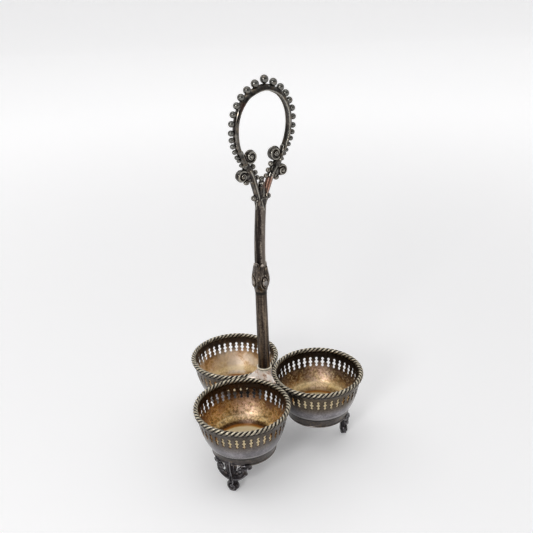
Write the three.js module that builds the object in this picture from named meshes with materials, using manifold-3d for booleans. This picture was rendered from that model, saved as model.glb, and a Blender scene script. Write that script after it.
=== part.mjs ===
// Three-bowl serving stand in silver plate, millimetres, +Z up.
// The origin is on the table, at the middle of the stand seen from above. The front bowl lies
// towards -Y from the stem.
// Three pierced bowls with roped rims meet round a central web. Each stands on one cast scroll foot.
// A stem with a leaf knop rises from the web to a fork, which carries a beaded loop handle.

import * as THREE from "three";
import { mergeVertices } from "three/addons/utils/BufferGeometryUtils.js";
import Module from "manifold-3d";

const wasm = await Module();
wasm.setup();

// Bowls, each spun from one sheet
const rim_radius = 37; // bowl axis to the middle of its rope
const rim_height = 65; // table to the middle of the rope
const rim_gap = 0.3; // between neighbouring ropes
const sheet = 1;
const wall_inset = 0.4; // the wall's outer face lies this far inside the middle of the rope
const lip_reach = 1.2; // the turned-out lip reaches this far past the middle of the rope
const lip_thickness = 0.8;
const crease_radius = 29.3; // where the side turns in above the base band
const belly_swell = 5; // control point of the curved side, out from the crease
const belly_rise = 8; // and up from it
const floor_height = 27.4; // table to the floor of the well
const well_depth = 4.8; // from the ledge down to the floor
const ledge_width = 5.1; // from the well out to the crease
const ledge_rise = 4.8; // from the well up to the crease
const facets = 40; // flat faces round a bowl, one for each slot

// Slots of the pierced gallery: a round end, a pointed middle and a round end
const slot_height = 8.2;
const slot_drop = 9.2; // from the lip down to the middle of a slot
const slot_end = 1.2; // half widths
const slot_waist = 0.75;
const slot_middle = 1.9;
const slot_waist_share = 0.5; // of the way from the middle to an end

// Rope
const rope_radius = 2.1; // over the strands
const rope_groove = 1.5; // between the strands
const rope_crossings = 58; // strands passed in going once round a rim
const rope_strands = 3; // wires twisted together
const rope_sides = 4;
const rope_corner = 1.15; // its corners stand this much further out, to keep the rope's bulk

// Base bands, soldered round the floor wells
const seat_gap = 0.1; // solder joint between pieces that sit on one another
const band_drop = 0.5; // the band reaches this far below the floor
const band_foot = 1.2; // thickness at the bottom
const band_margin = 0.4; // from the top of the band to the crease

// Feet
const toe_inset = 6.1; // from the crease in to the middle of the toe
const toe_width = 10.4;
const toe_depth = 7.2;
const toe_height = 9.9;
const leg_width = 6.6;
const plate_thickness = 1;
const plate_height = 5.6;
const plate_rise = 1.8; // from the bottom of the band up to the plate
const plate_facets = 8; // of the band's facets under a foot's plate
const scroll_width = 3.6;
const scroll_depth = 2.2; // thickness, in and out from the bowl
const scroll_reach = 12.4;
const curl_radius = 2.4;

// Central web, its collar and the rod that holds the stem down
const web_thickness = 4;
const web_above_rim = 8.5;
const web_gap = 0.15; // between the web and the ropes
const web_reach = 17; // how far each arm runs out between two ropes
const web_neck = 5.6; // radius under the collar
const collar_swell = 0.3;
const collar_height = 2.6;
const rod_radius = 2;
const rod_clearance = 0.6;
const rod_engagement = 6; // how far the rod runs into the knop
const rod_tail = 1; // rod below the nut
const thread_gap = 0.15;
const washer_radius = 6;
const washer_thickness = 1.2;
const nut_width = 7;
const nut_height = 3.2;

// Ties between neighbouring bowls, just under their lips
const tie_height = 3;
const tie_width = 4.4;

// Stem and knop. Above the lower stem everything leans a little, and 0 makes it upright.
const stem_foot_radius = 4.7;
const stem_middle_radius = 4.45;
const stem_top_radius = 4.1;
const lower_stem_length = 70.2;
const stem_sides = 16;
const lean = 2.7; // degrees, in the plane of the handle
const knop_height = 24.5; // to the notches between the leaves
const knop_belly = 7.2;
const knop_foot = 4.9;
const knop_neck = 5.3;
const leaf_tip = 4; // how far the leaf tips stand above the notches
const leaf_flare = 6.1;
const socket_share = 0.5; // of the knop's height taken by the upper stem
const boss_width = 4.4;
const boss_height = 8.4;
const upper_stem_length = 62;

// Handle, in its own plane
const handle_turn = 60; // degrees from +X
const fork_height = 33; // from the end of the stem to the foot of the ring
const fork_socket = 5; // depth of the stem in the fork, at the leaves
const fork_notch = 2; // depth between the leaves
const fork_leaves = 4;
const fork_wall = 0.5;
const fork_lobe = 2.1;
const joint_gap = 0.3; // between the fork and the ring
const arm_width = 5.2;
const arm_depth = 5.6;
const volute_radius = 4; // to the middle of the strap, where a volute starts
const volute_eye = 1.7; // and where it ends
const volute_sweep = 400; // degrees that the strap winds through
const volute_relief = 0.7; // the strap stands this far above the sides of the drum in it
const strap = 1.9; // thickness of a volute's strap
const loop_half_width = 23;
const loop_height = 52.3; // from the foot of the ring to the inside of its top
const ring_width = 6;
const ring_edge = 1.3;
const ring_crest_top = 5.2; // thickness under the top bead
const ring_crest_side = 3.3;
const bead_radius = 3.2; // of the top bead
const bead_taper = 0.043; // each bead is smaller by this share of the top one
const beads_each_side = 13;

const bowl_distance = (2 * (rim_radius + rope_radius) + rim_gap) / Math.sqrt(3);
const lip_height = rim_height - rope_corner * rope_radius * Math.cos(Math.PI / rope_sides);
const floor_underside = floor_height - sheet;
const well_radius = crease_radius - ledge_width; // outside of the well
const ledge_height = floor_underside + well_depth;
const crease_height = ledge_height + ledge_rise;
const band_bottom = floor_underside - band_drop;
const plate_low = band_bottom + plate_rise;
const toe_radius = crease_radius - toe_inset;
const web_top = rim_height + web_above_rim;
const web_bottom = lip_height - 1.3;
const web_shoulder = web_bottom + web_thickness;
const lower_stem_top = web_top + lower_stem_length;
const lean_gap = knop_foot * Math.sin(THREE.MathUtils.degToRad(lean)) + 0.05;
const socket_floor = (1 - socket_share) * knop_height;
const outer_volute = new THREE.Vector2(0.83 * loop_half_width, 0.745 * fork_height);
const inner_volute = new THREE.Vector2(0.49 * loop_half_width, fork_height + 0.113 * loop_height);
const loop_foot = 0.645 * loop_half_width; // half the distance between the ring's ends
const bowls = { front: -90, right: 30, left: 150 }; // directions from the stem

const finish = {
  tarnish: { color: 0x6f6b68, metalness: 0.9, roughness: 0.42 },
  rope: { color: 0xa79f8e, metalness: 0.95, roughness: 0.32 },
  bright: { color: 0xc9bdb4, metalness: 1, roughness: 0.22 },
  dark: { color: 0x4a4643, metalness: 0.9, roughness: 0.38 },
  brass: { color: 0x9a8452, metalness: 1, roughness: 0.4 },
};

const turn = (degrees) => THREE.MathUtils.degToRad(degrees);
const mix = THREE.MathUtils.lerp;

// Solids

// A manifold solid from a geometry, turned so that its faces point outwards.
function solid(geometry) {
  const bare = new THREE.BufferGeometry();
  bare.setAttribute("position", geometry.getAttribute("position"));
  bare.setIndex(geometry.index);
  const merged = mergeVertices(bare, 1e-4);
  const vertices = merged.getAttribute("position");
  const corners = [];
  for (let i = 0; i < merged.index.count; i += 3) {
    const [a, b, c] = [0, 1, 2].map((k) => merged.index.getX(i + k));
    if (a !== b && b !== c && c !== a) corners.push(a, b, c);
  }
  const make = (order) =>
    new wasm.Manifold(
      new wasm.Mesh({
        numProp: 3,
        vertProperties: vertices.array,
        triVerts: new Uint32Array(order),
      }),
    );
  const made = make(corners);
  return made.volume() > 0 ? made : make(corners.reverse());
}

const join = (...solids) => solids.reduce((whole, next) => whole.add(next));

// The three.js geometry of a manifold solid.
function geometryOf(body) {
  const { vertProperties, triVerts, numProp } = body.getMesh();
  const geometry = new THREE.BufferGeometry();
  const stride = new THREE.InterleavedBuffer(vertProperties, numProp);
  geometry.setAttribute("position", new THREE.InterleavedBufferAttribute(stride, 3, 0));
  geometry.setIndex([...triVerts]);
  const flat = geometry.toNonIndexed();
  flat.computeVertexNormals();
  return flat;
}

function mesh(name, body, look) {
  const made = new THREE.Mesh(geometryOf(body), new THREE.MeshStandardMaterial(finish[look]));
  made.name = name;
  return made;
}

// A closed skin over rings of equal length. An open run of rings gets an end cap on each side.
function skin(rings, closed = false) {
  const count = rings[0].length;
  const index = [];
  const spans = closed ? rings.length : rings.length - 1;
  for (let i = 0; i < spans; i++) {
    const near = i * count;
    const far = ((i + 1) % rings.length) * count;
    for (let j = 0; j < count; j++) {
      const k = (j + 1) % count;
      index.push(near + j, near + k, far + k);
      index.push(near + j, far + k, far + j);
    }
  }
  const last = (rings.length - 1) * count;
  for (let j = 1; !closed && j < count - 1; j++) {
    index.push(0, j + 1, j);
    index.push(last, last + j, last + j + 1);
  }
  const geometry = new THREE.BufferGeometry().setFromPoints(rings.flat());
  geometry.setIndex(index);
  return solid(geometry);
}

// A profile of [radius, height] points carried round the Z axis. It may change with the angle.
function spin(profile, steps, from = 0, sweep = 360) {
  const at = typeof profile === "function" ? profile : () => profile;
  const whole = sweep === 360;
  const rings = [];
  for (let i = 0; i < steps + (whole ? 0 : 1); i++) {
    const angle = turn(from + (sweep * i) / steps);
    const place = ([r, z]) => new THREE.Vector3(r * Math.cos(angle), r * Math.sin(angle), z);
    rings.push(at(i).map(place));
  }
  return skin(rings, whole);
}

// A line of [x, y] points moved to its left by a distance, with mitred corners.
function offsetLine(line, distance) {
  const normals = line.slice(1).map(([x, y], i) => {
    const run = new THREE.Vector2(x - line[i][0], y - line[i][1]).normalize();
    return new THREE.Vector2(-run.y, run.x);
  });
  return line.map(([x, y], i) => {
    const before = normals[Math.max(i - 1, 0)];
    const after = normals[Math.min(i, normals.length - 1)];
    const mitre = before.clone().add(after);
    mitre.multiplyScalar(distance / (1 + before.dot(after)));
    return [x + mitre.x, y + mitre.y];
  });
}

// A flat strap along a path in the XZ plane, with its thickness in the plane and its depth along Y.
function strapAlong(path, thickness, depth) {
  const rings = path.map((here, i) => {
    const before = path[Math.max(i - 1, 0)];
    const after = path[Math.min(i + 1, path.length - 1)];
    const side = new THREE.Vector2(before.y - after.y, after.x - before.x).normalize();
    const share = i / (path.length - 1);
    const half = side.multiplyScalar(thickness(share) / 2);
    const y = depth(share) / 2;
    return [
      new THREE.Vector3(here.x + half.x, y, here.y + half.y),
      new THREE.Vector3(here.x - half.x, y, here.y - half.y),
      new THREE.Vector3(here.x - half.x, -y, here.y - half.y),
      new THREE.Vector3(here.x + half.x, -y, here.y + half.y),
    ];
  });
  return skin(rings);
}

// A spiral path that winds clockwise from a volute's rim to its eye. The angle is in degrees.
function spiral(centre, from, steps) {
  return Array.from({ length: steps + 1 }, (_, i) => {
    const angle = turn(from - (volute_sweep * i) / steps);
    const reach = mix(volute_radius, volute_eye, i / steps);
    return new THREE.Vector2(reach * Math.cos(angle), reach * Math.sin(angle)).add(centre);
  });
}

function ball(x, y, z, rx, ry = rx, rz = rx) {
  return solid(new THREE.IcosahedronGeometry(1).scale(rx, ry, rz).translate(x, y, z));
}

function block(x, y, z, wide, deep, high) {
  return solid(new THREE.BoxGeometry(wide, deep, high).translate(x, y, z));
}

// Bowl, band and rope, about the bowl's own axis with +X away from the stem

const side = new THREE.QuadraticBezierCurve(
  new THREE.Vector2(crease_radius, crease_height),
  new THREE.Vector2(crease_radius + belly_swell, crease_height + belly_rise),
  new THREE.Vector2(rim_radius - wall_inset, lip_height - lip_thickness),
);
const bowl_outside = [
  [0, floor_underside],
  [well_radius, floor_underside],
  [well_radius, ledge_height],
  ...[0, 0.22, 0.48, 1].map((t) => side.getPoint(t).toArray()),
];

// Outer radius of the flat gallery between the last two points of the side.
function galleryRadius(height) {
  const [[r0, z0], [r1, z1]] = bowl_outside.slice(-2);
  return mix(r0, r1, (height - z0) / (z1 - z0));
}

function slotOutline() {
  const half = slot_height / 2;
  const waist = slot_waist_share * half;
  const right = [
    [slot_end, -half],
    [slot_waist, -waist],
    [slot_middle, 0],
    [slot_waist, waist],
    [slot_end, half],
  ];
  const left = right.map(([x, y]) => [-x, y]).reverse();
  const middle = lip_height - slot_drop;
  return [...right, ...left].map(([x, y]) => new THREE.Vector2(x, middle + y));
}

// The closed section is carried round in flat facets. The two facets that back one another in the
// gallery, outside and inside, are cut by a slot, and the slot's sides join them through the sheet.
function bowl() {
  const [, , , crease, , waist, top] = offsetLine(bowl_outside, sheet);
  const ledge = offsetLine(bowl_outside.slice(1), sheet)[1];
  const section = [
    ...bowl_outside,
    [rim_radius + lip_reach, lip_height],
    [top[0], lip_height],
    waist,
    crease,
    ledge,
    [ledge[0], floor_height],
    [0, floor_height],
  ];
  const outer_gallery = bowl_outside.length - 2;
  const inner_gallery = outer_gallery + 3;
  const step = (2 * Math.PI) / facets;
  const flat = Math.cos(step / 2);
  const slot = slotOutline();
  const points = [];
  const index = [];
  for (let i = 0; i < facets; i++)
    for (const [r, z] of section)
      points.push(new THREE.Vector3(r * Math.cos(i * step), r * Math.sin(i * step), z));
  const corner = (i, row) => (i % facets) * section.length + row;

  // A facet with a slot in it. The numbers of the slot's points come back.
  const pierce = (i, row) => {
    const [low, high] = [section[row], section[row + 1]];
    const rises = high[1] > low[1];
    const wide = (r) => r * Math.sin(step / 2);
    const outline = [
      new THREE.Vector2(-wide(low[0]), low[1]),
      new THREE.Vector2(wide(low[0]), low[1]),
      new THREE.Vector2(wide(high[0]), high[1]),
      new THREE.Vector2(-wide(high[0]), high[1]),
    ];
    const numbers = [corner(i, row), corner(i + 1, row), corner(i + 1, row + 1), corner(i, row + 1)];
    const first = points.length;
    for (const { x, y: z } of slot) {
      const out = flat * mix(low[0], high[0], (z - low[1]) / (high[1] - low[1]));
      const point = new THREE.Vector3(out, x, z);
      points.push(point.applyAxisAngle(new THREE.Vector3(0, 0, 1), (i + 0.5) * step));
    }
    const slot_numbers = slot.map((_, k) => first + k);
    const flat_points = [...outline, ...slot];
    const all_numbers = [...numbers, ...slot_numbers];
    for (const triangle of THREE.ShapeUtils.triangulateShape(outline, [slot])) {
      const anticlockwise = THREE.ShapeUtils.area(triangle.map((k) => flat_points[k])) > 0;
      const [a, b, c] = triangle.map((k) => all_numbers[k]);
      index.push(...(anticlockwise === rises ? [a, b, c] : [a, c, b]));
    }
    return slot_numbers;
  };

  for (let i = 0; i < facets; i++) {
    const outer = pierce(i, outer_gallery);
    const inner = pierce(i, inner_gallery);
    outer.forEach((a, k) => {
      const next = (k + 1) % slot.length;
      index.push(a, outer[next], inner[next], a, inner[next], inner[k]);
    });
    for (let row = 0; row < section.length - 1; row++) {
      if (row === outer_gallery || row === inner_gallery) continue;
      const [a, b] = [corner(i, row), corner(i + 1, row)];
      const [c, d] = [corner(i + 1, row + 1), corner(i, row + 1)];
      index.push(a, b, c, a, c, d);
    }
  }
  const geometry = new THREE.BufferGeometry().setFromPoints(points);
  geometry.setIndex(index);
  return solid(geometry);
}

// Under the side of a bowl, the line that a band follows at the solder gap.
const [, , band_seat_low, band_seat_high] = offsetLine(bowl_outside, -seat_gap);
const band_seat = (radius) =>
  mix(
    band_seat_low[1],
    band_seat_high[1],
    (radius - band_seat_low[0]) / (band_seat_high[0] - band_seat_low[0]),
  );
const band_inside = well_radius + seat_gap;
const band_top = crease_radius - band_margin;
const band_outside = [
  [band_inside + band_foot, band_bottom],
  [band_top, band_seat(band_top)],
];

function baseBand() {
  return spin([[band_inside, band_bottom], ...band_outside, band_seat_low], facets);
}

// Outer radius of the band, and of its bottom edge for what lies below it.
function bandRadius(height) {
  const [[r0, z0], [r1, z1]] = band_outside;
  return mix(r0, r1, Math.max(height - z0, 0) / (z1 - z0));
}

// Each row of vertices runs along the crest of a strand or the groove beside it.
function ropeRim() {
  const rows = 2 * rope_crossings;
  const points = [];
  const index = [];
  for (let row = 0; row < rows; row++) {
    const reach = rope_corner * (row % 2 === 0 ? rope_radius : rope_groove);
    for (let column = 0; column < rope_sides; column++) {
      const passed = row / 2 + (column * rope_strands) / rope_sides;
      const along = (2 * Math.PI * passed) / rope_crossings;
      const round = (2 * Math.PI * (column + 0.5)) / rope_sides;
      const r = rim_radius + reach * Math.cos(round);
      const z = rim_height + reach * Math.sin(round);
      points.push(new THREE.Vector3(r * Math.cos(along), r * Math.sin(along), z));
    }
  }
  const vertex = (row, column) => {
    const wrapped = column === rope_sides ? row + 2 * rope_strands : row;
    return (wrapped % rows) * rope_sides + (column % rope_sides);
  };
  for (let row = 0; row < rows; row++)
    for (let column = 0; column < rope_sides; column++) {
      const a = vertex(row, column);
      const b = vertex(row + 1, column);
      const c = vertex(row + 1, column + 1);
      const d = vertex(row, column + 1);
      index.push(a, b, c, a, c, d);
    }
  const geometry = new THREE.BufferGeometry().setFromPoints(points);
  geometry.setIndex(index);
  return solid(geometry);
}

// Foot: a plate round the band, a tapering leg with a rounded toe, and a scroll on each side

function footPlate() {
  const step = 360 / facets;
  const end = plate_facets / 2;
  const profile = (i) => {
    const away = Math.abs(i - end) / end;
    const low = plate_low + 0.3 * plate_height * away;
    const high = plate_low + plate_height * (1 - 0.15 * away);
    const inner = (z) => bandRadius(z) + seat_gap;
    return [
      [inner(low), low],
      [inner(low) + plate_thickness, low],
      [inner(high) + plate_thickness, high],
      [inner(high), high],
    ];
  };
  return spin(profile, plate_facets, -end * step, plate_facets * step);
}

// One loft from the plate down to the flat pad under the toe
function footLeg() {
  const skirt = (z) => bandRadius(z) + seat_gap + 0.8;
  const sections = [
    { z: 1.1 * plate_low, x: skirt(1.1 * plate_low), depth: 1.6, width: 0.8 * leg_width },
    { z: 0.96 * plate_low, x: skirt(0.96 * plate_low), depth: 1.5, width: leg_width },
    { z: 0.72 * plate_low, x: toe_radius + 2.1, depth: 3, width: 0.95 * leg_width },
    { z: 0.53 * plate_low, x: toe_radius - 0.3, depth: 5, width: 0.85 * leg_width },
    { z: 1.12 * toe_height, x: toe_radius - 1.3, depth: 0.85 * toe_depth, width: 0.9 * leg_width },
    { z: 0.82 * toe_height, x: toe_radius - 0.6, depth: 0.97 * toe_depth, width: 0.84 * toe_width },
    { z: 0.5 * toe_height, x: toe_radius, depth: toe_depth, width: toe_width },
    { z: 0.14 * toe_height, x: toe_radius, depth: 0.86 * toe_depth, width: 0.84 * toe_width },
    { z: 0, x: toe_radius, depth: 0.55 * toe_depth, width: 0.5 * toe_width },
  ];
  const rings = sections.map(({ z, x, depth, width }) =>
    [22.5, 67.5, 112.5, 157.5, 202.5, 247.5, 292.5, 337.5].map((angle) => {
      const out = (depth / 2) * Math.cos(turn(angle));
      return new THREE.Vector3(x + out, (width / 2) * Math.sin(turn(angle)), z);
    }),
  );
  return skin(rings);
}

function footScroll(hand) {
  const route = [
    { along: 1.5, share: 0.51, inset: 2.7, width: 1.2 },
    { along: 0.54 * scroll_reach, share: 0.54, inset: 2.3, width: 1.45 },
    { along: 0.86 * scroll_reach, share: 0.65, inset: 1.2, width: 1.4 },
    { along: scroll_reach, share: 0.8, inset: 0.3, width: 1 },
    { along: 1.03 * scroll_reach, share: 0.93, inset: 0, width: 0.85 },
    { along: 1.25 * scroll_reach, share: 1.07, inset: 0, width: 1 },
  ];
  // A point at a distance out from the bowl, measured from the surface that the foot clears
  const place = (along, z, out) => {
    const r = bandRadius(z) + seat_gap + out;
    return new THREE.Vector3(r * Math.cos(along / r), hand * r * Math.sin(along / r), z);
  };
  const rings = route.map(({ along, share, inset, width }, i) => {
    const before = route[Math.max(i - 1, 0)];
    const after = route[Math.min(i + 1, route.length - 1)];
    const rise = (after.share - before.share) * plate_low;
    const run = new THREE.Vector2(after.along - before.along, rise).normalize();
    const half = (width * scroll_width) / 2;
    const corner = (across, out) =>
      place(along + run.y * across, share * plate_low - run.x * across, out - inset);
    const [near, far] = [0.1, scroll_depth];
    return [corner(half, far), corner(-half, far), corner(-half, near), corner(half, near)];
  });
  const along = scroll_reach - 0.4 * scroll_width - 0.75 * curl_radius;
  const curl = place(along, 0.83 * plate_low, 0.4 * scroll_depth);
  return join(skin(rings), ball(curl.x, curl.y, curl.z, curl_radius));
}

function foot() {
  return join(footPlate(), footLeg(), footScroll(-1), footScroll(1));
}

// Web between the three ropes, with an arm towards each place where two ropes meet

function web() {
  const clear = rim_radius + rope_radius + web_gap;
  const outline = [];
  for (const bowl_direction of Object.values(bowls))
    for (const away of [-57, -52, -44, -30, 0, 30, 44, 52, 57]) {
      const across = bowl_distance * Math.sin(turn(away));
      const room = Math.sqrt(clear * clear - across * across);
      const reach = Math.min(bowl_distance * Math.cos(turn(away)) - room, web_reach);
      outline.push({ angle: turn(bowl_direction + away), reach });
    }
  const rise = web_top - web_shoulder;
  const levels = [
    { z: web_bottom, share: 1 },
    { z: web_shoulder, share: 1 },
    { z: web_shoulder + 0.25 * rise, share: 0.5 },
    { z: web_top, share: 0 },
  ];
  const rings = levels.map(({ z, share }) =>
    outline.map(({ angle, reach }) => {
      const r = mix(web_neck, reach, share);
      return new THREE.Vector3(r * Math.cos(angle), r * Math.sin(angle), z);
    }),
  );
  const bore = rod_radius + rod_clearance;
  const drill = [
    [0, web_bottom - 1],
    [bore, web_bottom - 1],
    [bore, web_top + 1],
    [0, web_top + 1],
  ];
  return skin(rings).subtract(spin(drill, stem_sides));
}

function collar() {
  const inner = stem_foot_radius + seat_gap;
  const section = [
    [inner, web_top],
    [web_neck, web_top],
    [web_neck + collar_swell, web_top + collar_height / 2],
    [web_neck, web_top + collar_height],
    [inner, web_top + collar_height],
  ];
  return spin(section, stem_sides);
}

// Rod, washer and nut below the web

const nut_top = web_bottom - washer_thickness;
const nut_bottom = nut_top - nut_height;
const rod_sides = 12;

function rod() {
  const bottom = nut_bottom - rod_tail;
  const top = lower_stem_top + lean_gap + rod_engagement;
  const section = [
    [0, bottom],
    [rod_radius, bottom],
    [rod_radius, top],
    [0, top],
  ];
  return spin(section, rod_sides);
}

// A flat plate with a round hole for the rod, from the points of its outline.
function drilledPlate(outline, low, thickness) {
  const shape = new THREE.Shape(outline);
  shape.holes.push(new THREE.Path().absarc(0, 0, rod_radius + thread_gap, 0, 2 * Math.PI));
  const plate = { depth: thickness, bevelEnabled: false, curveSegments: rod_sides / 2 };
  return solid(new THREE.ExtrudeGeometry(shape, plate).translate(0, 0, low));
}

function washer() {
  const rim = new THREE.Path().absarc(0, 0, washer_radius, 0, 2 * Math.PI);
  return drilledPlate(rim.getSpacedPoints(stem_sides), nut_top, washer_thickness);
}

function nut() {
  const corner = nut_width / Math.sqrt(3);
  const hexagon = new THREE.Path().absarc(0, 0, corner, 0, 2 * Math.PI);
  return drilledPlate(hexagon.getSpacedPoints(6), nut_bottom, nut_height);
}

// Tie between two bowls, seated on both galleries just under the lips

function tie() {
  const spacing = bowl_distance * Math.sin(turn(60));
  const high = lip_height - lip_thickness - 2 * seat_gap;
  const rings = [high - tie_height, high - 0.2 * tie_height, high].map((z, i) => {
    const length = spacing - galleryRadius(z) - seat_gap;
    const half = (tie_width / 2) * (i === 2 ? 0.8 : 1);
    return [
      new THREE.Vector3(half, length, z),
      new THREE.Vector3(-half, length, z),
      new THREE.Vector3(-half, -length, z),
      new THREE.Vector3(half, -length, z),
    ];
  });
  return skin(rings);
}

// Stem

function lowerStem() {
  const bore = rod_radius + rod_clearance;
  const section = [
    [bore, web_top],
    [stem_foot_radius, web_top],
    [stem_middle_radius, lower_stem_top],
    [bore, lower_stem_top],
  ];
  return spin(section, stem_sides);
}

// The knop and the upper stem stand on the point where the lean starts.

function knop() {
  const bore = rod_radius + rod_clearance;
  const bore_top = rod_engagement + 1;
  const socket = stem_middle_radius + seat_gap;
  const section = (i) => {
    const tip = i % 2 === 0 ? leaf_tip : 0;
    return [
      [0, bore_top],
      [bore, bore_top],
      [bore, 0],
      [knop_foot, 0],
      [mix(knop_foot, knop_belly, 0.75), 0.33 * knop_height],
      [knop_belly, 0.53 * knop_height],
      [mix(knop_neck, knop_belly, 0.6), 0.73 * knop_height],
      [knop_neck, 0.93 * knop_height],
      [tip > 0 ? leaf_flare : knop_neck, knop_height + tip],
      [socket, knop_height + tip],
      [socket, socket_floor],
      [0, socket_floor],
    ];
  };
  const half = boss_width / 2;
  const bosses = [0, 90, 180, 270].map((angle) => {
    const out = new THREE.Vector2(0.93 * knop_belly, 0).rotateAround(new THREE.Vector2(), turn(angle));
    const across = angle % 180 === 0 ? [0.55 * half, half] : [half, 0.55 * half];
    return ball(out.x, out.y, 0.45 * knop_height, ...across, boss_height / 2);
  });
  return join(spin(section, stem_sides), ...bosses);
}

function upperStem() {
  const bottom = socket_floor + seat_gap;
  const section = [
    [0, bottom],
    [stem_middle_radius, bottom],
    [stem_top_radius, socket_floor + upper_stem_length],
    [0, socket_floor + upper_stem_length],
  ];
  return spin(section, stem_sides);
}

// Volute, in the XZ plane: a strap that winds down on a drum, round a small boss

function volute(lead, centre, from, hand, depth) {
  const route = [lead, ...spiral(centre, from, 8)];
  const path = route.map(({ x, y }) => new THREE.Vector2(hand * x, y));
  const thickness = (share) => mix(1.1 * strap, 0.85 * strap, share);
  const radius = 0.65 * volute_radius;
  const drum = new THREE.CylinderGeometry(radius, radius, depth - 2 * volute_relief, 8);
  const eye = 0.75 * volute_eye;
  return join(
    strapAlong(path, thickness, () => depth),
    solid(drum.translate(hand * centre.x, 0, centre.y)),
    ball(hand * centre.x, 0, centre.y, eye, 0.55 * depth, eye),
  );
}

// Fork, in the XZ plane, from the end of the upper stem

function fork() {
  const bore = stem_top_radius + 0.15 + seat_gap;
  const outer = bore + fork_wall;
  const shoulder = 0.18 * fork_height;
  const socket = (i) => {
    const away = Math.abs(Math.sin((Math.PI * fork_leaves * i) / stem_sides));
    const depth = mix(fork_socket, fork_notch, away);
    return [
      [0, seat_gap],
      [bore, seat_gap],
      [bore, -depth],
      [outer, -depth],
      [outer + 0.4, 0.3 * shoulder],
      [outer - 0.4, shoulder],
      [0.5 * outer, 0.3 * fork_height],
      [0, 0.3 * fork_height],
    ];
  };
  const parts = [
    spin(socket, stem_sides),
    ball(0, 0, shoulder, 1.7 * outer, 2.6, fork_lobe),
    ball(0, 0, 0.42 * fork_height, 2.6, 2.2, 0.19 * fork_height),
    ball(0, 0, 0.56 * fork_height, fork_lobe),
  ];
  const arm = [
    [0.13, 0.12],
    [0.3, 0.34],
    [0.48, 0.55],
    [0.68, 0.79],
    [1.02, 1.04],
  ].map(([across, up]) => new THREE.Vector2(across * loop_foot, up * fork_height));
  const width = (share) => mix(arm_width, 0.8 * arm_width, share);
  const depth = (share) => mix(arm_depth, ring_width, share);
  const lead = new THREE.Vector2(0.7 * loop_foot, 0.79 * fork_height);
  for (const hand of [-1, 1]) {
    const path = arm.map(({ x, y }) => new THREE.Vector2(hand * x, y));
    parts.push(strapAlong(path, width, depth));
    parts.push(volute(lead, outer_volute, 112, hand, ring_width));
    // A leaf lobe joins the volute to the arm, and two beads sit on the arm's inner edge.
    const lobe_height = outer_volute.y - 0.75 * volute_radius;
    parts.push(ball(hand * 0.72 * outer_volute.x, 0, lobe_height, 0.23 * outer_volute.x, 2.4, 2.1));
    for (const [across, up] of [
      [0.38, 0.7],
      [0.58, 0.88],
    ])
      parts.push(ball(hand * across * loop_foot, 0, up * fork_height, fork_lobe));
  }
  const ceiling = fork_height - joint_gap;
  const above = block(0, 0, ceiling + fork_height / 2, 4 * loop_half_width, 20, fork_height);
  return join(...parts).subtract(above);
}

// Ring: a crested band that carries graduated beads and curls into a volute at each end

function ring() {
  const across_up = [
    [1, -0.01],
    [1.42, 0.268],
    [1.55, 0.507],
    [1.21, 0.841],
  ];
  const right = across_up.map(([across, up]) => [across * loop_foot, up * loop_height]);
  const left = right.map(([x, up]) => [-x, up]);
  const inner = new THREE.CatmullRomCurve3(
    [...left, [0, loop_height], ...right.reverse()].map(
      ([x, up]) => new THREE.Vector3(x, 0, fork_height + up),
    ),
  );
  // 0 at the top of the ring and 1 at either end
  const fromTop = (u) => Math.abs(2 * u - 1);
  const crest = (u) => {
    const eased = THREE.MathUtils.smoothstep(fromTop(u), 0, 0.5);
    return mix(ring_crest_top, ring_crest_side, eased);
  };
  const at = (u, out, across) => {
    const run = inner.getTangentAt(u);
    const outward = new THREE.Vector3(-run.z, 0, run.x);
    return inner.getPointAt(u).addScaledVector(outward, out).setY(across);
  };

  const spans = 20;
  const rings = [];
  for (let i = 0; i <= spans; i++) {
    const u = i / spans;
    const half = (ring_width / 2) * mix(1, 0.85, fromTop(u));
    rings.push([
      at(u, 0, -half),
      at(u, 0, half),
      at(u, ring_edge, half),
      at(u, crest(u), 0.4 * half),
      at(u, crest(u), -0.4 * half),
      at(u, ring_edge, -half),
    ]);
  }
  const parts = [skin(rings)];

  // Bead centres lie on a line just above the crest, closer together as the beads get smaller.
  const size = (i) => bead_radius * (1 - bead_taper * i);
  const step = (i) => size(i) + size(i + 1);
  const reach = (i) => Array.from({ length: i }, (_, k) => step(k)).reduce((a, b) => a + b, 0);
  const last = reach(beads_each_side) + 0.7 * step(beads_each_side);
  const line = new THREE.CatmullRomCurve3(
    Array.from({ length: spans + 1 }, (_, i) => {
      const u = i / spans;
      return at(u, crest(u) + 0.75 * size(beads_each_side * fromTop(u)), 0);
    }),
  );
  for (let i = -beads_each_side; i <= beads_each_side; i++) {
    const along = (Math.sign(i) * reach(Math.abs(i))) / last;
    const centre = line.getPointAt(0.5 + 0.5 * along);
    parts.push(ball(centre.x, 0, centre.z, 1.06 * size(Math.abs(i))));
  }

  const lead = new THREE.Vector2(loop_foot + 1.6, inner_volute.y - 2.4);
  for (const hand of [-1, 1])
    parts.push(volute(lead, inner_volute, -58, hand, 1.1 * ring_width));
  const below = block(0, 0, fork_height / 2, 4 * loop_half_width, 20, fork_height);
  return join(...parts).subtract(below);
}

// Assembly

const stand = new THREE.Group();

for (const [name, direction] of Object.entries(bowls)) {
  const bowl_place = new THREE.Group();
  bowl_place.position.x = bowl_distance;
  bowl_place.add(
    mesh("bowl_" + name, bowl(), "tarnish"),
    mesh("rope_rim_" + name, ropeRim(), "rope"),
    mesh("base_band_" + name, baseBand(), "dark"),
    mesh("foot_" + name, foot(), "dark"),
  );
  const turned = new THREE.Group();
  turned.rotation.z = turn(direction);
  turned.add(bowl_place);
  stand.add(turned);
}

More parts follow.
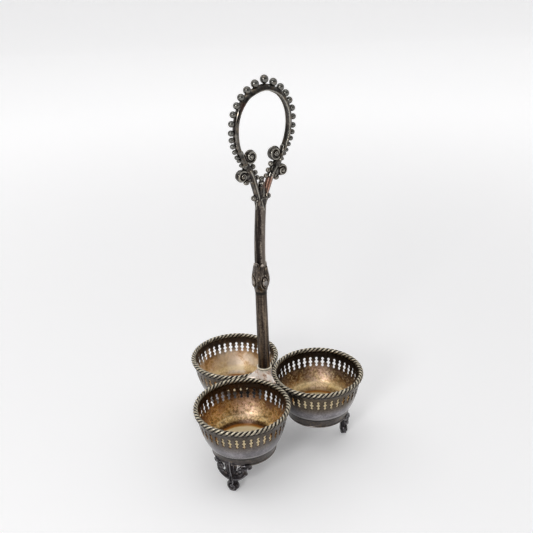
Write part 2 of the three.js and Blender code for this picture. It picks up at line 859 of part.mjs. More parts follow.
for (const [name, direction] of Object.entries({ front_right: -30, back: 90, front_left: 210 })) {
  const bridge = mesh("bowl_tie_" + name, tie(), "dark");
  bridge.position.x = bowl_distance * Math.cos(turn(60));
  const turned = new THREE.Group();
  turned.rotation.z = turn(direction);
  turned.add(bridge);
  stand.add(turned);
}

stand.add(
  mesh("centre_web", web(), "bright"),
  mesh("stem_collar", collar(), "bright"),
  mesh("tie_rod", rod(), "brass"),
  mesh("rod_washer", washer(), "brass"),
  mesh("rod_nut", nut(), "brass"),
  mesh("lower_stem", lowerStem(), "dark"),
);

const head = new THREE.Group();
head.position.z = socket_floor + upper_stem_length;
head.add(mesh("handle_fork", fork(), "dark"), mesh("handle_ring", ring(), "dark"));
const leaning = new THREE.Group();
leaning.position.z = lower_stem_top + lean_gap;
leaning.rotation.y = turn(lean);
leaning.add(mesh("stem_knop", knop(), "dark"), mesh("upper_stem", upperStem(), "dark"), head);
const handle_plane = new THREE.Group();
handle_plane.rotation.z = turn(handle_turn);
handle_plane.add(leaning);
stand.add(handle_plane);

// The stand's box runs from the front of one rope to the backs of the other two.
stand.position.y = bowl_distance / 4;

export default stand;
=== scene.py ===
"""A silver-plated serving stand: three pierced bowls round a tall stem with a beaded loop handle."""

import math

import bmesh
import bpy
import numpy as np
from mathutils import Matrix, Vector


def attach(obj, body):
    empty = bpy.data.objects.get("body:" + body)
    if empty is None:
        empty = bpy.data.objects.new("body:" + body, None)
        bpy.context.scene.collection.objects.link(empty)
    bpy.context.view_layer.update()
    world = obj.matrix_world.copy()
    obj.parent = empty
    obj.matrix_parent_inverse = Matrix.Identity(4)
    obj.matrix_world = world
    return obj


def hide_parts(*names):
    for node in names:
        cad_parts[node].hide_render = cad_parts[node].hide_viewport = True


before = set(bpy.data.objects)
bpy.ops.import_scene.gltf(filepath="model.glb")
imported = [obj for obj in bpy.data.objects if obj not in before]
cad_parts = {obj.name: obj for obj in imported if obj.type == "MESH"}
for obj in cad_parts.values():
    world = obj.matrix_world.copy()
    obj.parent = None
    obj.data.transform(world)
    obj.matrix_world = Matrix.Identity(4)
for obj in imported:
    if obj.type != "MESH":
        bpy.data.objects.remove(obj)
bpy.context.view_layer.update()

MM = 0.001
CRUMB_POINTS = 100

# Bowls. Radii are from a bowl's own axis, and heights from the floor it stands on. All in millimetres.
RIM_RADIUS = 37.0
RIM_HEIGHT = 65.0
RIM_GAP = 0.3
ROPE_RADIUS = 2.1
ROPE_LAY = 1.12
ROPE_WIRE = 0.98
ROPE_STRANDS = 3
ROPE_CROSSINGS = 58
BOWL_DISTANCE = (2 * (RIM_RADIUS + ROPE_RADIUS) + RIM_GAP) / math.sqrt(3)
STEM_Y = BOWL_DISTANCE / 4

# Directions from the stem of the bowls and of the gaps between them, in degrees
DIRECTIONS = {"front": -90, "right": 30, "left": 150}
GAPS = {"front_right": -30, "back": 90, "front_left": 210}

# The side of a bowl, as (radius, height), and its gallery of slots
CREASE = (29.3, 36.0)
BELLY = (34.3, 44.0)
LIP = (36.6, 62.5)
FLOOR = 27.4
SHEET = 1.0
SLOTS = 40
SLOT_MIDDLE = 54.0
SLOT_WANDER = 0.35
GALLERY = (48.6, 59.4)
GALLERY_RADIUS = 35.6
STRIPES = 8

# Stem and handle. Turns are in degrees.
TUBE_FOOT = 73.6
KNOP_FOOT = 143.85
KNOP_TOP = 172.5
KNOP_REACH = 7.95
LEAF_TURN = 29.5
BOSS_TURN = -5
LEAN = 2.7
LEAN_HEIGHT = 143.98
HANDLE_TURN = 60

# Camera, as the photograph was taken
CAMERA_PLACE = Vector((214.6, -451.6, 389.1))
CAMERA_AIM = Vector((4.68, 13.44, 166.87))
CAMERA_ROLL = -2.2
CAMERA_LENS = 47.48
CAMERA_SENSOR = 36.0

# The floor and the backdrop that it curves up into, in metres
FLOOR_REACH = 60.0
BACKDROP_AWAY = 3.0
BACKDROP_HEIGHT = 3.0
BACKDROP_TURN = 24


# Node trees


class Wire:
    """A number in a node tree. Sums on it add Math nodes."""

    def __init__(self, tree, socket):
        self.tree = tree
        self.socket = socket

    def combine(self, operation, first, second=0.0):
        return self.tree.node("ShaderNodeMath", {0: first, 1: second}, operation=operation)

    def __add__(self, other):
        return self.combine("ADD", self, other)

    def __sub__(self, other):
        return self.combine("SUBTRACT", self, other)

    def __rsub__(self, other):
        return self.combine("SUBTRACT", other, self)

    def __mul__(self, other):
        return self.combine("MULTIPLY", self, other)

    def __truediv__(self, other):
        return self.combine("DIVIDE", self, other)

    def __pow__(self, other):
        return self.combine("POWER", self, other)

    __radd__ = __add__
    __rmul__ = __mul__


class Tree:
    """A shader or geometry tree under construction."""

    def __init__(self, tree, material=None):
        self.tree = tree
        self.material = material

    def node(self, kind, inputs=None, output=0, **settings):
        """Adds a node: first its settings or a ramp's stops, then its sockets' values or wires."""
        made = self.tree.nodes.new(kind)
        for name, value in settings.items():
            if name == "stops":
                elements = made.color_ramp.elements
                while len(elements) < len(value):
                    elements.new(0.5)
                for element, (place, colour) in zip(elements, value):
                    element.position = place
                    element.color = (*colour, 1)
            else:
                setattr(made, name, value)
        for name, value in (inputs or {}).items():
            socket = made.inputs[name]
            if isinstance(value, Wire):
                self.tree.links.new(value.socket, socket)
            elif socket.type == "RGBA":
                socket.default_value = (*value, 1)
            else:
                socket.default_value = value
        if made.outputs:
            return Wire(self, made.outputs[output])

    def mix(self, factor, first, second, blend="MIX"):
        colours = {0: factor, 6: first, 7: second}
        return self.node("ShaderNodeMix", colours, 2, data_type="RGBA", blend_type=blend)

    def noise(self, place, scale, detail=3.0, roughness=0.6, distortion=0.0):
        sizes = {"Scale": scale, "Detail": detail, "Roughness": roughness, "Distortion": distortion}
        return self.node("ShaderNodeTexNoise", {"Vector": place, **sizes})

    def ramp(self, value, stops):
        """A colour for each value, blended between stops of (value, colour)."""
        return self.node("ShaderNodeValToRGB", {"Fac": value}, stops=stops)

    def step(self, value, low, high):
        """0 below low, 1 above high, smooth between."""
        limits = {"Value": value, "From Min": low, "From Max": high}
        return self.node("ShaderNodeMapRange", limits, interpolation_type="SMOOTHSTEP")

    def band(self, value, rise, fall):
        """1 between the rise and the fall, 0 outside them."""
        return self.step(value, *rise) * (1 - self.step(value, *fall))

    def vector(self, operation, first, second=(0, 0, 0), output=0):
        return self.node("ShaderNodeVectorMath", {0: first, 1: second}, output, operation=operation)

    def height(self, place):
        return self.node("ShaderNodeSeparateXYZ", {"Vector": place}, "Z")

    def off_axis(self, place):
        """How far a place is from the upright line through the origin."""
        return self.vector("LENGTH", self.vector("MULTIPLY", place, (1, 1, 0)), output="Value")

    def coat(self, shape, look, **chosen):
        inputs = {"Geometry": shape, "Material": look, **chosen}
        return self.node("GeometryNodeSetMaterial", inputs)


def finish(name):
    """The tree of a new material, and the place of each point on the piece."""
    material = bpy.data.materials.new(name)
    material.use_nodes = True
    material.node_tree.nodes.clear()
    tree = Tree(material.node_tree, material)
    return tree, tree.node("ShaderNodeTexCoord", output="Object")


def metal(tree, colour, roughness, bump, strength, distance=0.0001, metallic=1.0):
    """Ends a material in a metal surface."""
    bump = tree.node("ShaderNodeBump", {"Strength": strength, "Distance": distance, "Height": bump})
    surface = {"Base Color": colour, "Metallic": metallic, "Roughness": roughness, "Normal": bump}
    surface = tree.node("ShaderNodeBsdfPrincipled", surface)
    tree.node("ShaderNodeOutputMaterial", {"Surface": surface})
    return tree.material


# Shapes. All lines and shells are in millimetres, and Shell.mesh() turns them into metres.


def rounded(corners):
    """A line of (x, y) corners. A third number is the length cut from each side of a corner."""
    line = []
    for i, (x, y, *cut) in enumerate(corners):
        here = np.array([x, y], float)
        if not cut:
            line.append(here)
            continue
        ends = []
        for other in (corners[i - 1], corners[(i + 1) % len(corners)]):
            run = np.array(other[:2], float) - here
            ends.append(here + run / np.linalg.norm(run) * cut[0])
        for t in np.linspace(0, 1, 5):
            line.append((1 - t) ** 2 * ends[0] + 2 * t * (1 - t) * here + t * t * ends[1])
    return np.array(line)


def through(points, count):
    """A smooth line of that many points through the given ones."""
    points = np.array(points, float)
    reach = np.concatenate([[0], np.cumsum(np.linalg.norm(np.diff(points, axis=0), axis=1))])
    slope = np.gradient(points, reach, axis=0)
    at = np.linspace(0, reach[-1], count)
    i = np.clip(np.searchsorted(reach, at, side="right") - 1, 0, len(points) - 2)
    span = (reach[i + 1] - reach[i])[:, None]
    t = (at - reach[i])[:, None] / span
    return (
        (2 * t**3 - 3 * t**2 + 1) * points[i]
        + (t**3 - 2 * t**2 + t) * span * slope[i]
        + (3 * t**2 - 2 * t**3) * points[i + 1]
        + (t**3 - t**2) * span * slope[i + 1]
    )


def unit(vectors):
    return vectors / np.linalg.norm(vectors, axis=-1, keepdims=True)


def at_angle(r, angle, z):
    """Points at a radius, an angle and a height."""
    return np.stack(np.broadcast_arrays(r * np.cos(angle), r * np.sin(angle), z), axis=-1)


class Shell:
    """The points and faces of one piece."""

    def __init__(self):
        self.points = []
        self.faces = []
        self.marks = []
        self.count = 0

    def skin(self, rows, round_rows=True, round_all=False, mark=0):
        """Faces from each row of points to the next."""
        rows = np.asarray(rows, float)
        n, m = rows.shape[:2]
        number = self.count + np.arange(n * m).reshape(n, m)
        if round_rows:
            number = np.hstack([number, number[:, :1]])
        if round_all:
            number = np.vstack([number, number[:1]])
        corners = (number[:-1, :-1], number[1:, :-1], number[1:, 1:], number[:-1, 1:])
        faces = np.stack([c.ravel() for c in corners], axis=1)
        self.points.append(rows.reshape(-1, 3))
        self.faces.append(faces)
        self.marks.append(np.full(len(faces), mark))
        self.count += n * m
        return self

    def move(self, change):
        """Passes every point gathered so far through a function."""
        self.points = [change(points) for points in self.points]
        return self

    def mesh(self, weld=1e-6):
        mesh = bpy.data.meshes.new("shape")
        mesh.from_pydata(np.concatenate(self.points) * MM, [], np.concatenate(self.faces).tolist())
        marks = mesh.attributes.new("inside", "BOOLEAN", "FACE")
        marks.data.foreach_set("value", np.concatenate(self.marks).astype(bool))
        return tidy(mesh, weld)


def tidy(mesh, weld=1e-6):
    """Welds a mesh, drops faces with no area and points the rest outwards."""
    work = bmesh.new()
    work.from_mesh(mesh)
    bmesh.ops.remove_doubles(work, verts=work.verts, dist=weld)
    bmesh.ops.dissolve_degenerate(work, edges=work.edges, dist=weld)
    bmesh.ops.recalc_face_normals(work, faces=work.faces)
    work.to_mesh(mesh)
    work.free()
    return mesh


def lathe(profile, steps, wave=None):
    """A closed profile of (radius, height) carried round Z. A wave changes it with the angle."""
    rows = []
    for angle in np.linspace(0, 2 * math.pi, steps, endpoint=False):
        line = np.array(profile, float)
        if wave:
            line = wave(line, angle)
        rows.append(at_angle(line[:, 0], angle, line[:, 1]))
    return Shell().skin(rows, round_all=True)


def sweep(shell, path, up, wide, deep, sides=16, square=2.4, ends=4):
    """A bar along a path with a rounded oval section and rounded ends."""
    path = np.asarray(path, float)
    run = unit(np.gradient(path, axis=0))
    up = np.broadcast_to(np.asarray(up, float), path.shape)
    up = unit(up - (up * run).sum(axis=1, keepdims=True) * run)
    across = np.cross(run, up)
    wide = np.broadcast_to(wide, len(path)) / 2
    deep = np.broadcast_to(deep, len(path)) / 2
    angle = np.linspace(0, 2 * math.pi, sides, endpoint=False)
    bow = lambda v: np.sign(v) * np.abs(v) ** (2 / square)
    ring = lambda i, s: (
        across[i] * (wide[i] * s * bow(np.cos(angle)))[:, None]
        + up[i] * (deep[i] * s * bow(np.sin(angle)))[:, None]
    )
    rows = [path[i] + ring(i, 1) for i in range(len(path))]
    for i, way in ((0, -1), (len(path) - 1, 1)):
        for k in range(1, ends + 1):
            lift = math.radians(90 * k / ends)
            reach = way * min(wide[i], deep[i]) * math.sin(lift)
            row = path[i] + run[i] * reach + ring(i, math.cos(lift))
            rows = [row, *rows] if way < 0 else [*rows, row]
    return shell.skin(rows)


def ball(shell, centre, radii, steps=20):
    """A rounded lump with three radii."""
    angle = np.linspace(0, 2 * math.pi, steps, endpoint=False)
    lifts = np.linspace(-math.pi / 2, math.pi / 2, steps // 2 + 1)
    rows = [at_angle(np.cos(lift), angle, np.sin(lift)) for lift in lifts]
    return shell.skin(np.array(rows) * radii + np.array(centre, float))


def spiral(centre, start, turns, outer, inner, hand, count=40):
    """A flat scroll from its rim in to its eye, with the start in degrees."""
    t = np.linspace(0, 1, count)
    angle = np.radians(start) - 2 * math.pi * turns * t
    reach = outer + (inner - outer) * t
    return np.stack([centre[0] + hand * reach * np.cos(angle), centre[1] + reach * np.sin(angle)], 1)


def put(name, data):
    made = bpy.data.objects.new(name, data)
    bpy.context.scene.collection.objects.link(made)
    return made


def show(name, mesh, look=None, sharp=40, node=None):
    """Puts a finished mesh in the scene, on the stand, in place of its CAD node."""
    mesh.name = name
    mesh.shade_smooth()
    mesh.set_sharp_from_angle(angle=math.radians(sharp))
    if look is not None:
        mesh.materials.clear()
        mesh.materials.append(look)
    made = put(name, mesh)
    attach(made, "root")
    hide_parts(node or name)


def settle(mesh, modify):
    """The plain mesh that comes out of the modifiers which a function adds."""
    holder = put("holder", mesh)
    modify(holder)
    seen = holder.evaluated_get(bpy.context.evaluated_depsgraph_get())
    made = bpy.data.meshes.new_from_object(seen)
    holder.modifiers.clear()
    bpy.data.objects.remove(holder)
    return made


def grow(name, mesh, make, sizes):
    """Runs a Geometry Nodes tree, which a function fills, on a mesh."""
    group = bpy.data.node_groups.new(name, "GeometryNodeTree")
    face = group.interface
    face.new_socket("Geometry", in_out="INPUT", socket_type="NodeSocketGeometry")
    face.new_socket("Geometry", in_out="OUTPUT", socket_type="NodeSocketGeometry")
    keys = {}
    for label, value in sizes.items():
        kind = "NodeSocketInt" if isinstance(value, int) else "NodeSocketFloat"
        keys[label] = face.new_socket(label, in_out="INPUT", socket_type=kind).identifier
    tree = Tree(group)
    entry = group.nodes.new("NodeGroupInput")
    wires = {socket.name: Wire(tree, socket) for socket in entry.outputs if socket.name}
    last = group.nodes.new("NodeGroupOutput")
    group.links.new(make(tree, wires).socket, last.inputs[0])

    def modify(holder):
        modifier = holder.modifiers.new(name, "NODES")
        modifier.node_group = group
        for label, value in sizes.items():
            modifier[keys[label]] = value

    return tidy(settle(mesh, modify))


def drop_crumbs(mesh):
    """Deletes the loose crumbs of a few points that melting can leave."""
    work = bmesh.new()
    work.from_mesh(mesh)
    left = set(work.verts)
    while left:
        lump = [left.pop()]
        for point in lump:
            for edge in point.link_edges:
                other = edge.other_vert(point)
                if other in left:
                    left.remove(other)
                    lump.append(other)
        if len(lump) < CRUMB_POINTS:
            bmesh.ops.delete(work, geom=lump, context="VERTS")
    work.to_mesh(mesh)
    work.free()


def cast(shell, grain):
    """Melts overlapping lumps into one cast piece with soft corners."""

    def modify(holder):
        melt = holder.modifiers.new("melt", "REMESH")
        melt.mode = "VOXEL"
        melt.voxel_size = grain * MM
        soften = holder.modifiers.new("soften", "SMOOTH")
        soften.factor = 0.5
        soften.iterations = 3

    mesh = settle(shell.mesh(), modify)
    drop_crumbs(mesh)
    return tidy(mesh)


# Places


def set_round(mesh, direction, reach=BOWL_DISTANCE):
    """Moves a mesh from its own axis to that far from the stem's, with its +X outwards."""
    place = Matrix.Translation((0, STEM_Y * MM, 0))
    place @= Matrix.Rotation(math.radians(direction), 4, "Z")
    mesh.transform(place @ Matrix.Translation((reach * MM, 0, 0)))
    return mesh


def on_stem(points):
    return points + np.array([0, STEM_Y, 0])


# How far the bent upper stem and the handle stand off their leaning line, by height
BEND = [(LEAN_HEIGHT, 0), (158, -0.45), (182, -1.34), (200, -1.1), (218, -0.35), (260, 1.0), (311, 2.7)]
BEND = through(BEND, 200).T


def on_head(points):
    """From the leaning handle's plane (across, depth, height) to the stand."""
    lean, turned = math.radians(LEAN), math.radians(HANDLE_TURN)
    x, y, z = points.T
    x, z = x + np.interp(z, *BEND), z - LEAN_HEIGHT
    x, z = x * math.cos(lean) + z * math.sin(lean), z * math.cos(lean) - x * math.sin(lean)
    c, s = math.cos(turned), math.sin(turned)
    return np.stack([c * x - s * y, s * x + c * y + STEM_Y, z + LEAN_HEIGHT], axis=1)


def spot_on_head(x, y, z):
    """One point of the handle's plane on the stand, in metres."""
    return on_head(np.array([(x, y, z)], float))[0] * MM


# Bowls


def side(t):
    """The bowl's curved side, outside, from the crease (0) to the lip (1), and its outward normal."""
    t = np.asarray(t, float)[..., None]
    crease, belly, lip = np.array([CREASE, BELLY, LIP])
    point = (1 - t) ** 2 * crease + 2 * t * (1 - t) * belly + t**2 * lip
    run = unit((1 - t) * (belly - crease) + t * (lip - belly))
    return point, np.stack([run[..., 1], -run[..., 0]], axis=-1)


def side_at(height):
    """How far along the side a height lies."""
    rise = 2 * (BELLY[1] - CREASE[1])
    bend = CREASE[1] - 2 * BELLY[1] + LIP[1]
    above = np.asarray(height, float) - CREASE[1]
    return (np.sqrt(rise**2 + 4 * bend * above) - rise) / (2 * bend)


def slot_outline():
    """A slot's outline, lobe over lobe, round its own middle."""
    right = [(0.0, -4.5), (0.6, -4.2), (1.12, -3.5), (1.36, -2.9), (1.0, -2.3), (0.5, -1.8)]
    right += [(0.85, -1.25), (1.62, -0.45), (1.86, 0.0)]
    right += [(x, -y) for x, y in reversed(right[:-1])]
    left = [(-x, y) for x, y in reversed(right[1:-1])]
    return np.array(right + left)


def bowl_sector():
    """One slot's share of a bowl: the pierced gallery and strips of the rest, inside and out."""
    shell = Shell()
    low, high = GALLERY
    start, end = float(side_at(low)), float(side_at(high))
    edge = math.pi / SLOTS * GALLERY_RADIUS
    across = np.linspace(-edge, edge, STRIPES + 1)
    up = np.linspace(low, high, STRIPES + 1)

    def on_side(line, depth):
        x, z = line.T
        point, normal = side(side_at(z))
        r, height = (point - depth * normal).T
        return at_angle(r, x / GALLERY_RADIUS, height)

    def along(first, last, count, depth=0):
        point, normal = side(np.linspace(first, last, count))
        return point - depth * normal

    def strip(line, mark=0):
        rows = [at_angle(r, across / GALLERY_RADIUS, z) for r, z in line]
        shell.skin(rows, round_rows=False, mark=mark)

    # The gallery, from the sector's border in to the slot, through it and back out on the inside
    half = STRIPES // 2
    border_x = [across[half:], np.full(STRIPES, edge), across[::-1][1:]]
    border_x += [np.full(STRIPES, -edge), across[1:half]]
    border_z = [np.full(half + 1, low), up[1:], np.full(STRIPES, high)]
    border_z += [up[::-1][1:], np.full(half - 1, low)]
    border = np.stack([np.concatenate(border_x), np.concatenate(border_z)], axis=1)
    bevel_width, bevel_depth = 0.13, 0.14
    middle = np.array([0, SLOT_MIDDLE])
    slot = slot_outline() + middle
    rim = slot_outline() + bevel_width * unit(slot_outline()) + middle
    flat_part = [border + (rim - border) * share for share in (0, 0.35, 0.7)] + [rim]
    rows = [on_side(line, 0) for line in flat_part]
    rows += [on_side(slot, bevel_depth), on_side(slot, SHEET - bevel_depth)]
    rows += [on_side(line, SHEET) for line in reversed(flat_part)]
    shell.skin(rows[:5])
    shell.skin(rows[4:], mark=1)

    under_floor = FLOOR - SHEET
    under = rounded(
        [CREASE, (29.25, 35.7, 0.15), (28.5, 35.35), (24.2, 31.2, 0.5)]
        + [(24.2, under_floor, 0.9), (23, under_floor), (12, under_floor), (0, under_floor)]
    )
    strip(np.concatenate([along(start, 0, 12), under[1:]]))
    well = rounded(
        [tuple(along(0, 0, 1, SHEET)[0]), (28.0, 36.1, 0.5), (24.2, 32.2, 0.8), (23.2, 31.0, 0.5)]
        + [(23.2, FLOOR, 1.2), (21.5, FLOOR), (10, FLOOR), (0, FLOOR)]
    )
    strip(np.concatenate([along(start, 0.02, 12, SHEET), well]), mark=1)
    lip = rounded([LIP, (37.6, 62.7, 0.3), (38.2, 63.0, 0.2), (38.0, 63.3, 0.2), (36.0, 63.3, 0.3)])
    lip_inside = (35.7, 63.28)
    strip(np.concatenate([along(end, 1, 6)[:-1], lip]))
    strip(np.concatenate([[lip_inside], along(1, end, 6, SHEET)]), mark=1)
    strip([lip[-1], lip_inside])
    return shell.mesh(weld=1e-7)


def pierced(outside, inside):
    """A tree that sets the sectors side by side, and lets the saw wander a little at each slot."""

    def make(tree, wires):
        points = tree.node("GeometryNodeMeshLine", {"Count": wires["Slots"], "Offset": (0, 0, 0)})
        turn = tree.node("GeometryNodeInputIndex") * (2 * math.pi) / wires["Slots"]
        turn = tree.node("ShaderNodeCombineXYZ", {"Z": turn})
        ring = {"Points": points, "Instance": wires["Geometry"], "Rotation": turn}
        whole = tree.node("GeometryNodeInstanceOnPoints", ring)
        whole = tree.node("GeometryNodeRealizeInstances", {"Geometry": whole})
        whole = tree.node("GeometryNodeMergeByDistance", {"Geometry": whole, "Distance": 1e-5})
        place = tree.node("GeometryNodeInputPosition")
        noise = {"Vector": place, "W": wires["Seed"], "Scale": 230.0, "Detail": 1.0}
        drift = tree.node("ShaderNodeTexNoise", noise, "Color", noise_dimensions="4D")
        drift = tree.vector("SUBTRACT", drift, (0.5, 0.5, 0.5))
        near = tree.band(tree.height(place), (0.0485, 0.0505), (0.0575, 0.0595))
        drift = {0: drift, "Scale": near * wires["Unevenness"]}
        drift = tree.node("ShaderNodeVectorMath", drift, operation="SCALE")
        whole = tree.node("GeometryNodeSetPosition", {"Geometry": whole, "Offset": drift})
        marked = tree.node("GeometryNodeInputNamedAttribute", {"Name": "inside"}, data_type="BOOLEAN")
        return tree.coat(tree.coat(whole, outside), inside, Selection=marked)

    return make


def twisted(look):
    """A tree for a rope: one wire that winds round the rim until it closes."""

    def make(tree, wires):
        count = wires["Crossings"] * 14
        line = tree.node("GeometryNodeCurvePrimitiveLine")
        line = tree.node("GeometryNodeResampleCurve", {"Curve": line, "Count": count})
        share = tree.node("GeometryNodeInputIndex") / count
        way = share * wires["Strands"] * (2 * math.pi)
        twist = share * wires["Crossings"] * (2 * math.pi)
        cosine = lambda value: value.combine("COSINE", value)
        sine = lambda value: value.combine("SINE", value)
        reach = wires["Rim"] + wires["Lay"] * cosine(twist)
        spot = {"X": reach * cosine(way), "Y": reach * sine(way)}
        spot["Z"] = wires["Height"] + wires["Lay"] * sine(twist)
        spot = tree.node("ShaderNodeCombineXYZ", spot)
        line = tree.node("GeometryNodeSetPosition", {"Geometry": line, "Position": spot})
        line = tree.node("GeometryNodeSetSplineCyclic", {"Geometry": line, "Cyclic": True})
        section = {"Resolution": 10, "Radius": wires["Wire"]}
        section = tree.node("GeometryNodeCurvePrimitiveCircle", section)
        rope = tree.node("GeometryNodeCurveToMesh", {"Curve": line, "Profile Curve": section})
        return tree.coat(tree.node("GeometryNodeRealizeInstances", {"Geometry": rope}), look)

    return make


def beaded(look):
    """A tree that sets a bead on each point, at the point's own size."""

    def make(tree, wires):
        bead = tree.node("GeometryNodeMeshUVSphere", {"Segments": 22, "Rings": 14, "Radius": 1.0})
        size = tree.node("GeometryNodeInputNamedAttribute", {"Name": "size"}, data_type="FLOAT")
        row = {"Points": wires["Geometry"], "Instance": bead, "Scale": size * wires["Fullness"]}
        row = tree.node("GeometryNodeInstanceOnPoints", row)
        return tree.coat(tree.node("GeometryNodeRealizeInstances", {"Geometry": row}), look)

    return make


def base_band():
    profile = rounded(
        [(24.35, 26.2, 0.2), (25.3, 25.9, 0.3), (26.2, 25.95, 0.35), (26.5, 26.7, 0.35)]
        + [(26.0, 27.3, 0.2), (26.5, 28.4, 0.6), (28.2, 34.0, 1.5), (28.9, 35.4, 0.2)]
        + [(28.55, 35.2, 0.1), (24.35, 30.9, 0.4)]
    )
    return lathe(profile, 160)


# Stem, its web and its collar


def centre_web():
    """A three-armed plate between the ropes that sweeps up to the collar."""
    clear = RIM_RADIUS + ROPE_RADIUS + 0.15
    neck, longest = 5.6, 16.9
    angles, reaches = [], []
    for direction in DIRECTIONS.values():
        for away in np.radians(np.linspace(-57, 57, 39)):
            across = BOWL_DISTANCE * math.sin(away)
            reach = BOWL_DISTANCE * math.cos(away) - math.sqrt(clear * clear - across * across)
            angles.append(math.radians(direction) + away)
            reaches.append(min(reach, longest))
    angles, reaches = np.array(angles), np.array(reaches)
    ridge = np.zeros_like(angles)
    for arm in GAPS.values():
        gap = np.angle(np.exp(1j * (angles - math.radians(arm))))
        ridge += np.exp(-((gap / 0.13) ** 2))

    def row(share, z):
        return at_angle(neck + (reaches - neck) * share, angles, z)

    rows = [at_angle(0, angles, 62.1), row(0.99, 62.05), row(1, 62.3), row(1, 65.5), row(0.985, 65.9)]
    for s in np.linspace(0.03, 1, 26):
        bow = math.sin(math.pi * s)
        rows.append(row(0.985 - 0.985 * s, 65.9 + 7.6 * s**1.7 + 0.5 * bow + bow * ridge))
    rows.append(at_angle(0, angles, 73.4))
    return Shell().skin(rows).move(on_stem)


def stem_collar():
    profile = rounded(
        [(5.7, 73.5), (5.5, 74.2, 0.3), (5.5, 74.7, 0.1), (6.3, 74.95, 0.3), (6.3, 75.85, 0.35)]
        + [(5.4, 76.1, 0.25), (5.1, 75.9, 0.1), (5.1, 73.5)]
    )
    return lathe(profile, 96).move(on_stem)


def dent(angle, height, salt):
    """The slight waviness of an old tube."""
    return 0.05 * np.sin(2 * angle + height / 9 + salt) + 0.04 * np.sin(3 * angle - height / 13 + 2 * salt)


def tube(outside, bore, salt):
    """An old tube between the levels of its outside line of (radius, height)."""
    inner = [(bore, outside[-1][1]), (bore, outside[0][1])]

    def wave(line, angle):
        line[:-2, 0] += dent(angle, line[:-2, 1], salt)
        return line

    return lathe(outside + inner, 64, wave)


def lower_stem():
    line = [(4.98 - 0.26 * t, TUBE_FOOT + 70.1 * t) for t in np.linspace(0, 1, 42)]
    return tube(line, 2.6, 0.4).move(on_stem)


def upper_stem():
    line = [(4.34 - 0.02 * t, 158 + 60.1 * t) for t in np.linspace(0, 1, 36)]
    return tube(line, 1.6, 2.1).move(on_head)


def stem_knop():
    """Overlapping leaves with four long bosses, open at the top round the upper stem."""
    body = [(4.8, KNOP_FOOT), (4.95, 146), (5.5, 148.8), (6.5, 152), (6.95, 156), (6.5, 160)]
    body += [(5.9, 163.5), (5.4, 167), (5.2, 170), (5.6, KNOP_TOP)]
    body = through(body, 84)
    bore = 158.2
    rows = []
    for angle in np.linspace(0, 2 * math.pi, 192, endpoint=False):
        # The crown of leaf tips: two tall ones that open out, and lower ones between them
        beat = math.cos(4 * (angle - math.radians(LEAF_TURN)))
        tall = max(math.cos(2 * (angle - math.radians(LEAF_TURN))), 0)
        tip = 167.2 + 5.4 * tall * max(beat, 0) ** 0.5 + 3.6 * max(-beat, 0) ** 0.6
        z = KNOP_FOOT + (body[:, 1] - KNOP_FOOT) * (tip - KNOP_FOOT) / (KNOP_TOP - KNOP_FOOT)
        flare = 1.1 * tall * max(beat, 0) * np.clip((z - 164.5) / 6, 0, 1) ** 2
        r = np.interp(z, body[:, 1], body[:, 0]) + flare
        rise = np.clip((z - 150) / 8, 0, 1)
        for quarter in range(0, 360, 90):
            # A leaf that stands proud, with a groove round it and a rib down its middle
            leaf = math.remainder(angle - math.radians(quarter + LEAF_TURN), 2 * math.pi)
            edge = 0.60 - 0.030 * (z - 160)
            inside = 1 / (1 + np.exp((abs(leaf) - edge) / 0.03))
            groove = np.exp(-(((abs(leaf) - edge - 0.06) / 0.05) ** 2))
            r = r + rise * (0.42 * inside - 0.30 * groove)
            r = r + 0.25 * rise * math.exp(-((leaf / 0.09) ** 2))
            # An oval boss in a groove
            boss = math.remainder(angle - math.radians(quarter + BOSS_TURN), 2 * math.pi)
            away = np.hypot(boss * 6.9 / 2.5, (z - 155.0) / 4.5)
            r = r * (1 - 0.13 * np.exp(-(((away - 1.08) / 0.22) ** 2)))
            cap = np.sqrt(np.clip(1 - (away / 0.9) ** 2, 0, 1))
            r = np.where(away < 0.9, 6.75 + 1.15 * cap, r)
        neck = np.clip((151 - z) / 5, 0, 1) * np.clip((z - 144.5) / 2, 0, 1)
        r = r + 0.18 * np.sin(6 * angle + 0.8 * z) * neck
        lip = [(r[-1] - 0.25, z[-1] + 0.1), (r[-1] - 0.6, z[-1] - 0.2), (4.6, 166.8), (4.35, 163.5)]
        lip = np.array([*lip, (4.35, bore), (0, bore)])
        r = np.concatenate([[0, 3.0], np.minimum(r, KNOP_REACH), lip[:, 0]])
        z = np.concatenate([[KNOP_FOOT, KNOP_FOOT], z, lip[:, 1]])
        rows.append(at_angle(r, angle, z))
    return Shell().skin(rows, round_rows=False, round_all=True).move(on_head)


# Handle, drawn in its own plane: across, depth, height. Lists are of its right half, from the top.

LOOP = [(0, 303.3), (8.9, 301.2), (13.3, 299), (17.3, 295), (20.6, 289.5), (22.3, 284), (23, 277.8)]
LOOP += [(22.7, 272), (21.6, 266.4), (19.6, 261), (17.5, 257), (14.8, 250.7)]
BEADS = [(0, 311.3), (8.2, 308.6), (14.9, 304.5), (20.1, 299.9), (23.7, 294.4), (26.7, 288.5)]
BEADS += [(28, 282), (28.3, 275.5), (27.8, 270.4), (26.7, 265.7), (24.9, 261.4), (23, 257.3)]
BEADS += [(21.2, 254.6), (19.2, 250.9)]
INNER_SCROLL = (11.3, 256.7)
OUTER_SCROLL = (18.4, 242.4)
FORK_ARM = [(1.6, 218.5), (2.7, 223.5), (4.6, 229), (7.1, 236), (9.6, 242.5), (13.2, 248.2)]
FORK_ARM += [(15.6, 250.2)]
FORK_BRANCH = [(8.2, 238.5), (11, 244.2), (15.2, 247.1)]

